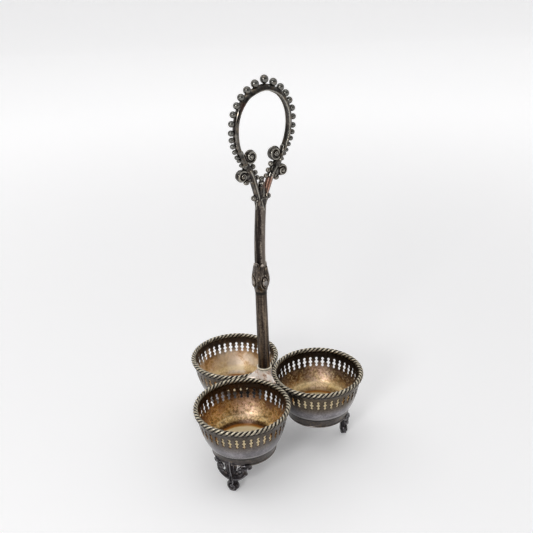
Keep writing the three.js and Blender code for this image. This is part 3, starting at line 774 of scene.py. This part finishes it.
# Lumps between a fork's arm and its scroll, down the fork's middle and at its socket: place, radii
ARM_LUMPS = [
    (13.4, 242.4, (2.8, 2.4, 3.4)),
    (13.9, 237.3, (2.5, 2.3, 2.0)),
    (11.9, 239.6, (2.2, 2.2, 2.2)),
]
FORK_BEADS = [(8.3, 248.6, 2.15), (6.0, 244.0, 2.0), (4.1, 239.9, 1.9)]
SOCKET_LUMPS = [(6.6, 224.0, (2.4, 2.4, 2.3)), (4.6, 222.6, (1.7, 2.6, 2.2))]


def mirrored(points, hand):
    """The right half's points as they are (1), or on the left (-1)."""
    return np.array(points, float) * (hand, 1)


def flat(line, depth=0.0):
    """A line drawn in the handle's plane, at a depth."""
    line = np.array(line, float)
    return np.stack([line[:, 0], np.full(len(line), depth), line[:, 1]], axis=1)


def scroll(shell, hand, centre, start, radius, relief):
    """A tight scroll: a strap that winds round a swelling drum with a button on each face."""
    x, z = hand * centre[0], centre[1]
    line = spiral((x, z), start, 1.35, radius - 1.2, 1.1, hand)
    swell = np.linspace(0, 1, len(line))
    sweep(shell, flat(line), (0, 1, 0), 2.3 - 0.5 * swell, 5.4 + relief * swell, sides=18, ends=3)
    ball(shell, (x, 0, z), (radius - 1.1, 2.5, radius - 1.1))
    for face in (-1, 1):
        ball(shell, (x, face * (2.2 + relief / 3), z), (1.55, 1.35, 1.55))


def handle_ring():
    """The loop, grooved inside and crested outside, with a scroll at each end."""
    shell = Shell()
    line = through([(-x, z) for x, z in LOOP[:0:-1]] + LOOP, 139)
    run = unit(np.gradient(line, axis=0))
    out = np.stack([-run[:, 1], run[:, 0]], axis=1)
    share = np.abs(np.linspace(-1, 1, len(line)))
    crest = np.interp(share, [0, 0.25, 0.55, 1], [5.0, 4.0, 3.3, 3.2])
    shoulder = 1.15

    # Points of the section: depth, height, and how much of the crest's height is added
    section = [(-2.7, 0.0), (-2.2, 0.1), (-1.4, 0.62), (0, 0.8), (1.4, 0.62), (2.2, 0.1), (2.7, 0.0)]
    section = [(*point, 0) for point in section + [(3.0, 0.3), (3.0, 1.05)]]
    for lift in math.pi * np.arange(1, 10) / 10:
        section.append((2.9 * math.cos(lift), shoulder, math.sin(lift)))
    section += [(-3.0, 1.05, 0), (-3.0, 0.3, 0)]
    depth, height, crested = np.array(section).T
    rows = []
    for (x, z), (out_x, out_z), top in zip(line, out, crest):
        away = height + (top - shoulder) * crested
        rows.append(np.stack([x + out_x * away, depth, z + out_z * away], axis=1))
    caps = [np.broadcast_to(row.mean(axis=0), row.shape) for row in (rows[0], rows[-1])]
    shell.skin([caps[0], *rows, caps[1]])
    for hand in (-1, 1):
        scroll(shell, hand, INNER_SCROLL, -48, 6.3, 1.6)
        neck = through(mirrored([(19.4, 260.5), (18.2, 256.4), (15.2, 252.6)], hand), 12)
        sweep(shell, flat(neck), (0, 1, 0), 3.2, 5.2)
    return shell.move(on_head)


def bead_points():
    """The points that carry the beads, each with a size that falls from the top down."""
    spots = [(x, 0, z, i) for i, (x, z) in enumerate(BEADS)]
    spots += [(-x, 0, z, i) for i, (x, z) in enumerate(BEADS) if i]
    spots = np.array(spots, float)
    mesh = bpy.data.meshes.new("beads")
    mesh.from_pydata(on_head(spots[:, :3]) * MM, [], [])
    sizes = mesh.attributes.new("size", "FLOAT", "POINT")
    sizes.data.foreach_set("value", (1 - 0.043 * spots[:, 3]) * MM)
    return mesh


def handle_fork():
    """Two arms with scrolls, beads between them, and leaves that clasp the stem."""
    shell = Shell()
    leaf_width, leaf_depth = np.linspace(5.4, 0.8, 12), np.linspace(1.1, 0.6, 12)
    for hand in (-1, 1):
        arm = through(mirrored(FORK_ARM, hand), 40)
        sweep(shell, flat(arm), (0, 1, 0), np.linspace(4.9, 5.8, 40), 5.3, ends=2)
        for face in (-1, 1):
            ridge = flat(arm[4:34], face * 2.45) + (hand * 0.3, 0, 0)
            sweep(shell, ridge, (0, 1, 0), 1.5, 1.7, sides=10)
        branch = through(mirrored(FORK_BRANCH, hand), 16)
        sweep(shell, flat(branch), (0, 1, 0), 3.2, 5.0)
        scroll(shell, hand, OUTER_SCROLL, 128, 5.5, 1.5)
        for x, z, radii in ARM_LUMPS:
            ball(shell, (hand * x, 0, z), radii)
        for x, z, r in FORK_BEADS:
            ball(shell, (hand * x, 0, z), (r, r, r))
            ball(shell, (hand * (x + 1.4), 0, z - 0.8), (1.6, 1.7, 1.6), steps=12)
        for x, z, radii in SOCKET_LUMPS:
            ball(shell, (hand * x, 0, z), radii)
        leaf = through(mirrored([(4.7, 224.5), (4.75, 220), (4.35, 214.6)], hand), 12)
        sweep(shell, flat(leaf), (1, 0, 0), leaf_width, leaf_depth)
    ball(shell, (0, 0, 238.2), (2.2, 2.2, 2.2))
    ball(shell, (0, 0, 234.6), (2.7, 2.4, 2.6))
    throat = [(0, 0, z) for z in (218.6, 222, 228, 232, 235)]
    sweep(shell, throat, (0, 1, 0), [7.6, 7.4, 6.8, 5.6, 3.6], 6.0)
    for face in (-1, 1):
        spear = [(0, face * 3.9, 217), (0, face * 3.6, 222), (0, face * 2.9, 228), (0, face * 1.8, 234)]
        sweep(shell, through(spear, 16), (0, 1, 0), np.linspace(3.0, 0.9, 16), 1.5)
        leaf = [(0, face * 4.1, 223.5), (0, face * 4.5, 219), (0, face * 4.35, 214.4)]
        sweep(shell, through(leaf, 12), (0, 1, 0), np.linspace(5.6, 0.8, 12), leaf_depth)
    sweep(shell, [(0, 0, 218.6), (0, 0, 222.5)], (0, 1, 0), 8.9, 8.9, sides=28, square=2.0)
    return shell.move(on_head)


# Feet, drawn with +X outwards, Y along the bowl's side and Z up

# Bars of a foot's right half: points of (y, z), how far they stand out, width and depth
UPPER_SCROLL = [(9.6, 25.6), (12.2, 26.4), (14.6, 26.2), (15.6, 24.6), (14.2, 23.4), (13.2, 24.4)]
LOWER_SCROLL = [(2.0, 13.6), (5.2, 14.6), (8.6, 16.6), (11.0, 19.8), (10.9, 23.2), (8.6, 24.3)]
LOWER_SCROLL += [(7.1, 22.8), (7.9, 21.3)]
FOOT_BARS = [
    ([(1.2, 28.6), (8, 28.0), (13.0, 27.4)], -0.6, [3.0] * 10 + [2.2] * 18, 1.6),
    (UPPER_SCROLL, 0.3, np.linspace(2.8, 1.9, 28), 2.2),
    (LOWER_SCROLL, 0.8, np.linspace(6.2, 2.8, 28), 2.8),
    ([(2.4, 13.0), (5.8, 13.7), (9.4, 15.6), (11.8, 19.0)], 1.9, 1.2, 1.4),
]
FOOT_LUMPS = [
    ((23.0, 11.9, 18.6), (1.6, 1.5, 1.6), 14),
    ((25.6, 8.0, 22.5), (1.6, 1.8, 1.8), 14),
    ((24.2, 4.2, 17.2), (1.4, 2.6, 3.0), 18),
]


def outside_bowl(y, z, out):
    """A point that stands out from the round side of the base band, or from the line under it."""
    band_line = np.interp(z, [26.0, 28.4, 34.0, 35.4], [26.1, 26.6, 28.3, 28.9])
    line_under = np.interp(z, [12, 21, 26], [24.3, 25.6, 26.0])
    reach = np.where(z > 26, band_line, line_under) + out
    return np.stack([np.sqrt(np.maximum(reach**2 - y**2, 0)), y, z], axis=1)


def foot():
    """A cast foot: a toe with a small scroll, a ridged leg, and two scrolls under a plate."""
    shell = Shell()
    for hand in (-1, 1):
        for points, out, wide, deep in FOOT_BARS:
            spots = outside_bowl(*through(mirrored(points, hand), 28).T, out)
            sweep(shell, spots, unit(spots * (1, 1, 0)), wide, deep)
        for (x, y, z), radii, steps in FOOT_LUMPS:
            ball(shell, (x, hand * y, z), radii, steps)
    leg = [(24.9, 0, 29.5), (25.3, 0, 24), (24.4, 0, 18), (22.9, 0, 12), (22.6, 0, 8), (22.9, 0, 5)]
    leg = through(leg, 30)
    x, y, z = leg.T
    wide = np.interp(z, [5, 9, 12, 20, 24, 29], [8.8, 7.4, 7.4, 9.0, 10.8, 13.0])
    deep = np.interp(z, [5, 12, 20, 29], [5.6, 4.4, 2.9, 2.0])
    sweep(shell, leg, (1, 0, 0), wide, deep, ends=2)
    lift = np.interp(z, [5, 9, 20, 29], [0.6, 0.9, 0.1, -0.4])
    ridge = leg + np.stack([deep / 2 - 0.1, lift, 0 * deep], axis=1)
    sweep(shell, ridge, (1, 0, 0), 1.5, 2.4, sides=10)
    for hand in (-1, 1):
        sweep(shell, leg[:14] + (0.5, hand * 2.9, 0), (1, 0, 0), 1.0, 1.6, sides=10)
    ball(shell, (22.9, 0, 4.7), (3.1, 5.4, 4.7), steps=28)
    sweep(shell, [(21.2, 0, 0.75), (25.0, 0, 0.75)], (0, 0, 1), 6.0, 1.5, sides=20)
    curl = spiral((0, 4.9), 95, 1.15, 4.1, 1.1, -1, 36)
    curl = np.stack([24.9 + 0.02 * np.arange(36), curl[:, 0], curl[:, 1]], axis=1)
    sweep(shell, curl, (1, 0, 0), 1.8, 2.2, sides=12)
    return ball(shell, (25.6, 0.2, 5.2), (1.2, 1.2, 1.2), steps=14)


def bowl_tie():
    """A short cast bridge between two bowls, just under their lips, drawn across its own axis."""
    reach = BOWL_DISTANCE * math.sin(math.radians(60)) - 36.55
    line = through([(0, -reach, 60.5), (0, 0, 60.2), (0, reach, 60.5)], 14)
    wide = 3.4 + 0.8 * np.linspace(-1, 1, 14) ** 2
    return sweep(Shell(), line, (0, 0, 1), wide, 2.6, square=4.0, ends=2)


# Materials. Colours are those that the metal shows in plain light, apart from the painted shade and
# painted highlights named below. Heights are in metres.


def from_bowl(tree, place, name):
    """The place of a point seen from the middle of a bowl's rim."""
    angle = math.radians(DIRECTIONS[name])
    middle = (
        BOWL_DISTANCE * math.cos(angle) * MM,
        (BOWL_DISTANCE * math.sin(angle) + STEM_Y) * MM,
        RIM_HEIGHT * MM,
    )
    return tree.vector("SUBTRACT", place, middle)


def pewter(name, brownness):
    """Outside of a bowl: grey plate with a brown bloom round the slots, painted shade under the rope,
    below the crease and near the stem, a painted highlight on the crease and a painted sheen on the belly.
    """
    tree, place = finish("pewter_" + name)
    height = tree.height(place)
    blotch = tree.noise(place, 75.0, 4.0)
    speck = tree.noise(place, 620.0)
    greys = [(0.32, (0.075, 0.070, 0.073)), (0.5, (0.16, 0.152, 0.155)), (0.68, (0.30, 0.29, 0.292))]
    colour = tree.ramp(blotch * 0.65 + speck * 0.35, greys)
    level = height + (blotch - 0.5) * 0.008
    bloom = tree.band(level, (0.042, 0.050), (0.0595, 0.063))
    brown = tree.ramp(speck, [(0.32, (0.10, 0.075, 0.045)), (0.6, (0.23, 0.18, 0.11))])
    colour = tree.mix(bloom * brownness, colour, brown)
    # Painted shade: a dark band on the wall just under the overhanging rope.
    under_rope = tree.step(height, 0.0605, 0.0635)
    colour = tree.mix(under_rope * 0.7, colour, (0.05, 0.043, 0.036))
    # Painted highlight: a thin light line just above the crease.
    crease_highlight = tree.band(height, (0.0352, 0.0362), (0.0366, 0.0385))
    colour = tree.mix(crease_highlight * (0.35 + speck * 0.5), colour, (0.42, 0.40, 0.38))
    # Painted shade: the wall below the crease, where it meets the band, is darkened.
    below = 1 - tree.step(height, 0.0345, 0.0356)
    colour = tree.mix(below * 0.8, colour, (0.05, 0.045, 0.042))
    # Painted shade: walls near the stem, in the narrow gaps between the bowls, are darkened almost to
    # black.
    from_stem = tree.off_axis(tree.vector("SUBTRACT", place, (0, STEM_Y * MM, 0)))
    colour = tree.mix((1 - tree.step(from_stem, 0.016, 0.040)) * 0.92, colour, (0.012, 0.010, 0.009))
    # Painted sheen: the belly just above the crease is lightened, and the wall from about the slots up is
    # darkened.
    sheen = [(0.0, (1.0, 1.0, 1.02)), (0.3, (1.5, 1.48, 1.55)), (0.62, (0.62, 0.6, 0.58))]
    colour = tree.mix(1.0, colour, tree.ramp((height - 0.034) * 40.0, sheen), "MULTIPLY")
    return metal(tree, colour, 0.14 + speck * 0.18, speck, 0.15)


# The inside of a bowl, from its floor to its lip: cream, gold and brown, with painted shade darkening the
# ledge and the wall under the lip
PATINA_AND_SHADE = [
    (0.0, (0.98, 0.88, 0.62)),
    (0.03, (0.88, 0.74, 0.44)),
    (0.06, (0.55, 0.26, 0.07)),
    (0.10, (0.42, 0.20, 0.07)),
    (0.125, (0.13, 0.07, 0.03)),
    (0.16, (0.20, 0.11, 0.04)),
    (0.20, (0.94, 0.66, 0.28)),
    (0.31, (1.0, 0.74, 0.38)),
    (0.43, (0.70, 0.44, 0.20)),
    (0.56, (0.26, 0.15, 0.07)),
    (0.74, (0.08, 0.048, 0.028)),
    (1.0, (0.035, 0.027, 0.022)),
]


def patina_and_light(name, pale, dim, climb):
    """Inside of a bowl: speckled brown and gold, with painted shade darker at the ledge and under the lip,
    and painted highlights low on the far wall and above the ledge.
    """
    tree, place = finish("patina_" + name)
    height = tree.height(place)
    fine = tree.noise(place, 470.0, 6.0, 0.8)
    broad = tree.noise(place, 120.0)
    patch = tree.noise(place, 60.0, 2.0, 0.5, 0.6)
    loose = tree.step(height, 0.0355, 0.0420)
    level = height + (fine - 0.5) * 0.0018 + loose * ((fine - 0.5) * 0.014 + (broad - 0.5) * 0.032)
    colour = tree.ramp((level + loose * climb - 0.027) * (1 / 0.037), PATINA_AND_SHADE)
    # Where the ledge is less dim, plain gold covers its painted shade.
    ledge = tree.band(level, (0.0305, 0.0315), (0.0335, 0.0350))
    colour = tree.mix(ledge * (1 - dim), colour, (0.88, 0.60, 0.25))
    pink = tree.step(broad, 0.47, 0.62) * loose * (1 - tree.step(height, 0.046, 0.054))
    colour = tree.mix(pink * 0.25, colour, (0.98, 0.66, 0.50))
    # Painted highlight: a pinkish-white patch low on each bowl's far wall.
    far_wall_highlight = tree.vector("DISTANCE", from_bowl(tree, place, name), (-0.010, 0.030, -0.024), "Value")
    far_wall_highlight = 1 - tree.step(far_wall_highlight + (broad - 0.5) * 0.014, 0.003, 0.017)
    colour = tree.mix(far_wall_highlight * 0.85, colour, (1.0, 0.74, 0.62))
    speckle = [(0.39, (0.09, 0.055, 0.03)), (0.46, (0.45, 0.34, 0.24)), (0.54, (1.0, 1.0, 1.0))]
    speckle = tree.ramp(fine * 0.8 + broad * 0.2, speckle)
    speckled = tree.step(height, 0.0285, 0.033) * (0.9 - 0.5 * pale)
    colour = tree.mix(speckled, colour, speckle, "MULTIPLY")
    sparkle = tree.step(tree.noise(place, 520.0, 4.0, 0.7), 0.52, 0.60)
    sparkle = sparkle * tree.step(level, 0.0335, 0.0355) * (1 - tree.step(level, 0.044, 0.053))
    colour = tree.mix(sparkle * 0.6, colour, (1.0, 0.82, 0.50))
    silver = [(0.39, (0.36, 0.20, 0.08)), (0.46, (0.72, 0.50, 0.28)), (0.55, (0.97, 0.86, 0.72))]
    silver = tree.ramp(fine * 0.4 + patch * 0.6, silver)
    bare = tree.step(height, 0.0300, 0.0335) * (1 - tree.step(level, 0.044, 0.060)) * (0.5 + broad)
    colour = tree.mix(bare * pale, colour, silver)
    # Painted highlight: a bright gold crescent just above the ledge, weaker where the ledge is dim.
    ledge_highlight = tree.band(level, (0.0328, 0.0345), (0.0350, 0.0405))
    colour = tree.mix(ledge_highlight * (0.55 - 0.4 * dim), colour, (1.0, 0.78, 0.40))
    polished = tree.step(height, 0.0277, 0.0300)
    roughness = 0.32 + 0.12 * pale + fine * 0.22
    return metal(tree, colour, roughness, fine, 0.25, metallic=0.1 + polished * (0.8 - 0.35 * pale))


def rope_look(name):
    """Rope rim: strands with painted shade, near-black in the grooves where they meet and dark on their
    undersides, and a painted cream highlight on their upper crests.
    """
    tree, place = finish("rope_" + name)
    from_rim = from_bowl(tree, place, name)
    off = tree.off_axis(from_rim) - RIM_RADIUS * MM
    rise = tree.height(from_rim)
    depth = (off * off + rise * rise) ** 0.5
    grime = tree.noise(place, 420.0)
    # Painted shade: the grooves between strands, near the rope's core, go near-black.
    raised = tree.step(depth + (grime - 0.5) * 0.0006, 0.00158, 0.00190)
    strand = tree.ramp(grime, [(0.35, (0.16, 0.135, 0.11)), (0.65, (0.40, 0.35, 0.27))])
    colour = tree.mix(raised, (0.022, 0.020, 0.020), strand)
    # Painted highlight: cream on the outer crest of each strand, on its upper side only.
    crest = tree.step(depth + (grime - 0.5) * 0.0007, 0.00186, 0.00207)
    crest = crest * tree.step(rise, 0.0002, 0.0016)
    colour = tree.mix(crest * 0.8, colour, (0.88, 0.80, 0.62))
    # Painted shade: the lower side of each strand is darkened.
    under = 1 - tree.step(rise, -0.0016, 0.0002)
    colour = tree.mix(under * 0.75, colour, (0.055, 0.052, 0.052))
    return metal(tree, colour, 0.28 + grime * 0.2, grime, 0.15)


def silver_look():
    """The web: rubbed bright, faintly pink and gold, stained at its top, and dark below with painted
    shade.
    """
    tree, place = finish("rubbed_silver")
    cloud = tree.noise(place, 150.0)
    speck = tree.noise(place, 900.0)
    pinks = [(0.36, (0.34, 0.20, 0.13)), (0.43, (0.90, 0.72, 0.60))]
    pinks += [(0.51, (1.0, 0.93, 0.86)), (0.66, (1.0, 0.82, 0.70))]
    colour = tree.ramp(cloud * 0.7 + speck * 0.3, pinks)
    height = tree.height(place)
    colour = tree.mix(tree.step(height, 0.0712, 0.0735) * 0.25, colour, (0.22, 0.15, 0.10))
    # Painted shade: the low part of the web, down between the ropes, is painted almost black.
    colour = tree.mix((1 - tree.step(height, 0.0648, 0.0662)) * 0.95, colour, (0.012, 0.010, 0.009))
    return metal(tree, colour, 0.20 + speck * 0.20, cloud, 0.2, 0.0003, metallic=0.12)


def collar_look():
    """The collar: cream silver with a dark groove."""
    tree, place = finish("bright_collar")
    speck = tree.noise(place, 700.0)
    colour = tree.ramp(speck, [(0.3, (0.66, 0.56, 0.40)), (0.6, (0.96, 0.89, 0.74))])
    groove = tree.band(tree.height(place), (0.0737, 0.0741), (0.0747, 0.0750))
    colour = tree.mix(groove * 0.85, colour, (0.09, 0.06, 0.045))
    return metal(tree, colour, 0.26 + speck * 0.14, speck, 0.08, metallic=0.35)


def tube_look(name, colours, low, high, radius, shaded):
    """A stem: dark, with lighter lines along it, painted shade making one side blacker and a painted
    highlight on the other, between two points of its axis.
    """
    tree, place = finish(name)
    dark, middle, light, gold = colours
    lines = tree.noise(tree.vector("MULTIPLY", place, (1, 1, 0.05)), 360.0, 4.0, 0.65)
    speck = tree.noise(place, 800.0)
    stops = [(0.36, dark), (0.48, middle), (0.58, light), (0.70, gold)]
    colour = tree.ramp(lines * 0.75 + speck * 0.25, stops)
    lean = (high[0] - low[0]) / (high[2] - low[2])
    way = np.array([0.906, 0.423, -0.906 * lean])
    across = tree.vector("DOT_PRODUCT", place, tuple(way), "Value")
    side = (across - float(way @ low)) * (1 / radius) + (speck - 0.5) * 0.5
    # Painted shade on the left half of the stem as the camera sees it, and a painted highlight on its
    # right edge.
    black = tree.band(side, (-0.95, -0.65), (-0.05, 0.30))
    colour = tree.mix(black * shaded, colour, dark)
    colour = tree.mix(tree.step(side, 0.10, 0.45) * 0.45 * shaded, colour, light)
    return metal(tree, colour, 0.22 + speck * 0.25, lines, 0.25, 0.0002)


def cast_look(name, colours, spots=(), gloss=0.10, shaded=(), stained=0.5, edge_from=0.502):
    """Cast plate: dark in the hollows with tarnish and painted shade, light on raised edges with wear and
    a painted highlight, with rubbed spots and painted shade over the given heights.
    """
    tree, place = finish(name)
    dark, middle, light = colours
    cloud = tree.noise(place, 240.0, 4.0)
    speck = tree.noise(place, 1100.0)
    stain = tree.noise(place, 330.0, 2.0, 0.6, 0.8)
    colour = tree.ramp(cloud * 0.6 + speck * 0.4, [(0.34, dark), (0.6, middle)])
    edge = tree.node("ShaderNodeNewGeometry", output="Pointiness")
    # Raised edges are lightened, partly as wear and partly as a painted highlight.
    raised = tree.step(edge + (cloud - 0.5) * 0.03, edge_from, edge_from + 0.028)
    # Hollows are darkened, partly as tarnish and partly as painted shade.
    hollow = 1 - tree.step(edge + (speck - 0.5) * 0.015, 0.475, 0.497)
    colour = tree.mix(raised * 0.85, colour, light)
    colour = tree.mix(tree.step(stain, 0.50, 0.66) * stained, colour, (0.22, 0.16, 0.10))
    colour = tree.mix(hollow * 0.9, colour, (0.012, 0.010, 0.010))
    roughness = gloss + speck * 0.22
    for spot, size, rubbed in spots:
        away = tree.vector("DISTANCE", place, tuple(spot), "Value")
        bare = 1 - tree.step(away + (cloud - 0.5) * size * 0.8, size * 0.35, size)
        colour = tree.mix(bare * (0.1 + cloud * 0.9), colour, rubbed)
        roughness = roughness + bare * 0.2
    # Painted shade over each given band of heights.
    for low, high in shaded:
        near = tree.band(tree.height(place), (low - 0.0006, low), (high, high + 0.0006))
        colour = tree.mix(near * 0.9, colour, (0.02, 0.018, 0.016))
    return metal(tree, colour, roughness, speck, 0.08)


def brass_look():
    tree, place = finish("dull_brass")
    speck = tree.noise(place, 600.0)
    colour = tree.ramp(speck, [(0.3, (0.26, 0.18, 0.07)), (0.65, (0.55, 0.42, 0.20))])
    return metal(tree, colour, 0.34 + speck * 0.2, speck, 0.2)


# Stage


def aim(made, place, target, roll=0.0):
    """Sets a camera or a lamp at a place and points it at a target."""
    way = (Vector(target) - Vector(place)).to_track_quat("-Z", "Y")
    made.rotation_mode = "QUATERNION"
    made.rotation_quaternion = way @ Matrix.Rotation(math.radians(roll), 3, "Z").to_quaternion()
    made.location = place


def camera():
    data = bpy.data.cameras.new("camera")
    data.lens = CAMERA_LENS
    data.sensor_width = CAMERA_SENSOR
    data.clip_start = 0.01
    data.clip_end = 50
    made = put("camera", data)
    aim(made, CAMERA_PLACE * MM, CAMERA_AIM * MM, CAMERA_ROLL)
    bpy.context.scene.camera = made


def grey(level):
    return level, level, level


def floor():
    """A pale floor that curves up into a backdrop well behind the stand, brighter with distance."""
    tree, place = finish("pale_floor")
    # Painted light: the floor glows for camera, glossy and transmission rays, faintly near the stand,
    # which lightens its shadow, and more with distance.
    away = tree.step(tree.vector("LENGTH", place, output="Value"), 0.15, 1.6)
    glow = tree.ramp(away, [(0.0, grey(0.165)), (1.0, grey(0.45))])
    seen = tree.node("ShaderNodeLightPath", output="Is Camera Ray")
    for ray in ("Is Glossy Ray", "Is Transmission Ray"):
        seen = seen + tree.node("ShaderNodeLightPath", output=ray)
    surface = {
        "Base Color": (0.9, 0.895, 0.9),
        "Roughness": 0.75,
        "Specular IOR Level": 0.15,
        "Emission Color": tree.mix(seen, grey(0.0), glow),
        "Emission Strength": 1.0,
    }
    tree.node("ShaderNodeOutputMaterial", {"Surface": tree.node("ShaderNodeBsdfPrincipled", surface)})
    line = [(-FLOOR_REACH, 0.0)]
    line += [(BACKDROP_AWAY + math.sin(a), 1 - math.cos(a)) for a in np.linspace(0, math.pi / 2, 24)]
    line.append((BACKDROP_AWAY + 1, BACKDROP_HEIGHT))
    turned = Matrix.Rotation(math.radians(BACKDROP_TURN), 3, "Z")
    points = [turned @ Vector((x, y, z)) for y, z in line for x in (-FLOOR_REACH, FLOOR_REACH)]
    faces = [(i, i + 1, i + 3, i + 2) for i in range(0, len(points) - 2, 2)]
    mesh = bpy.data.meshes.new("floor")
    mesh.from_pydata(points, [], faces)
    mesh.shade_smooth()
    mesh.materials.append(tree.material)
    put("floor", mesh)


def light():
    """A soft room, brighter above and behind, and three round lamps."""
    world = bpy.data.worlds.new("studio")
    bpy.context.scene.world = world
    world.use_nodes = True
    world.node_tree.nodes.clear()
    tree = Tree(world.node_tree)
    way = tree.node("ShaderNodeTexCoord", output="Generated")
    bright = tree.vector("DOT_PRODUCT", way, (-0.15, 0.62, 0.6), "Value") * 0.5 + 0.5
    sky = tree.ramp(bright, [(0.28, grey(0.12)), (0.55, (0.52, 0.52, 0.53)), (0.8, grey(1.0))])
    room = tree.node("ShaderNodeBackground", {"Color": sky, "Strength": 0.80})
    tree.node("ShaderNodeOutputWorld", {"Surface": room})
    for name, place, target, size, power in (
        ("key", (-0.75, 0.10, 0.85), (0, 0, 0.05), 0.3, 0.36),
        ("front", (-0.04, -1.57, 0.85), (0, 0, 0.08), 0.45, 10.1),
        ("top", (0.0, -0.2, 1.3), (0, 0, 0.08), 0.8, 1.6),
    ):
        data = bpy.data.lights.new(name, "AREA")
        data.shape = "DISK"
        data.size = size
        data.energy = power
        aim(put(name, data), place, target)


bpy.context.scene.view_settings.view_transform = "Standard"
camera()
floor()
light()

# The rod, its washer and its nut keep the CAD's shape.
brass = brass_look()
for node in ("tie_rod", "rod_washer", "rod_nut"):
    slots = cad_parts[node].data.materials
    slots.clear()
    slots.append(brass)

# Bowls. How brown each is outside; inside, how bare, how dim at the ledge, and how far its brown climbs
BOWL_LOOKS = {
    "front": (0.35, (0.0, 1.0, -0.003)),
    "right": (0.6, (0.1, 0.55, 0.0065)),
    "left": (0.6, (0.66, 0.25, -0.001)),
}
ROPE = {
    "Rim": RIM_RADIUS * MM,
    "Height": RIM_HEIGHT * MM,
    "Lay": ROPE_LAY * MM,
    "Wire": ROPE_WIRE * MM,
    "Strands": ROPE_STRANDS,
    "Crossings": ROPE_CROSSINGS,
}
# The base band gets painted shade along its top edge, under the bowl's crease.
band_colours = (0.045, 0.039, 0.036), (0.115, 0.103, 0.098), (0.32, 0.29, 0.27)
band_look = cast_look("band_pewter", band_colours, gloss=0.22, shaded=[(0.0339, 0.0400)])
foot_colours = (0.010, 0.009, 0.010), (0.032, 0.028, 0.031), (0.26, 0.25, 0.26)
foot_look = cast_look("foot_pewter", foot_colours, gloss=0.16, stained=0.1)
sector = bowl_sector()
band_mesh = base_band().mesh()
foot_mesh = cast(foot(), 0.22)
tie_mesh = bowl_tie().mesh()

for seed, (name, direction) in enumerate(DIRECTIONS.items(), 1):
    brownness, inside = BOWL_LOOKS[name]
    sawn = pierced(pewter(name, brownness), patina_and_light(name, *inside))
    sizes = {"Slots": SLOTS, "Unevenness": SLOT_WANDER * MM, "Seed": 2.0 * seed}
    bowl = grow("pierced_bowl_" + name, sector.copy(), sawn, sizes)
    show("bowl_" + name, set_round(bowl, direction))
    rope = grow("rope_" + name, bpy.data.meshes.new("start"), twisted(rope_look(name)), ROPE)
    show("rope_rim_" + name, set_round(rope, direction))
    show("base_band_" + name, set_round(band_mesh.copy(), direction), band_look)
    show("foot_" + name, set_round(foot_mesh.copy(), direction), foot_look, sharp=60)

for name, direction in GAPS.items():
    tie = set_round(tie_mesh.copy(), direction, BOWL_DISTANCE * math.cos(math.radians(60)))
    show("bowl_tie_" + name, tie, band_look)

# Stem
show("centre_web", centre_web().mesh(), silver_look())
show("stem_collar", stem_collar().mesh(), collar_look())
browns = (0.014, 0.010, 0.009), (0.055, 0.042, 0.035), (0.20, 0.155, 0.115), (0.45, 0.30, 0.16)
ends = np.array([0, STEM_Y, 76]) * MM, np.array([0, STEM_Y, 143]) * MM
show("lower_stem", lower_stem().mesh(), tube_look("brown_tube", browns, *ends, 0.0049, 0.3))
greys = (0.012, 0.009, 0.009), (0.050, 0.040, 0.036), (0.34, 0.29, 0.24), (0.60, 0.43, 0.21)
ends = spot_on_head(0, 0, 172), spot_on_head(0, 0, 222)
show("upper_stem", upper_stem().mesh(), tube_look("grey_tube", greys, *ends, 0.0043, 0.75))

# Knop, rubbed bright on its bosses and on the leaf tips, where the bright spots are partly painted
# highlights
rubbed = []
for quarter in range(0, 360, 90):
    for turn, reach, height, size, colour in (
        (BOSS_TURN, 7.6, 155.4, 0.0027, (0.60, 0.57, 0.55)),
        (-15.5, 5.7, 170.6, 0.0026, (0.95, 0.84, 0.74)),
    ):
        turned = math.radians(quarter + turn)
        spot = spot_on_head(reach * math.cos(turned), reach * math.sin(turned), height)
        rubbed.append((spot, size, colour))
# The knop's foot, where it meets the lower stem, gets painted shade.
knop_colours = (0.020, 0.016, 0.014), (0.085, 0.070, 0.060), (0.40, 0.34, 0.28)
knop_look = cast_look(
    "knop_pewter", knop_colours, rubbed, gloss=0.14, shaded=[(0.1432, 0.1462)], edge_from=0.508
)
show("stem_knop", stem_knop().mesh(), knop_look, sharp=60)

# Handle, rubbed to a warm brown on the ring's left shoulder and the fork's right arm
rubbed = [
    (spot_on_head(-18.5, -2.5, 292.5), 0.005, (0.13, 0.06, 0.045)),
    (spot_on_head(5.8, -2.8, 233.5), 0.0075, (0.28, 0.13, 0.085)),
]
handle_colours = (0.016, 0.014, 0.014), (0.080, 0.074, 0.068), (0.42, 0.40, 0.35)
handle_look = cast_look("handle_pewter", handle_colours, rubbed, stained=0.35)
bead_colours = (0.035, 0.034, 0.032), (0.17, 0.168, 0.155), (0.17, 0.168, 0.155)
bead_look = cast_look("bead_pewter", bead_colours, gloss=0.09, stained=0.3)
show("handle_ring", cast(handle_ring(), 0.25), handle_look, sharp=60)
beads = grow("beads", bead_points(), beaded(bead_look), {"Fullness": 3.2})
show("ring_beads", beads, node="handle_ring")
show("handle_fork", cast(handle_fork(), 0.25), handle_look, sharp=60)
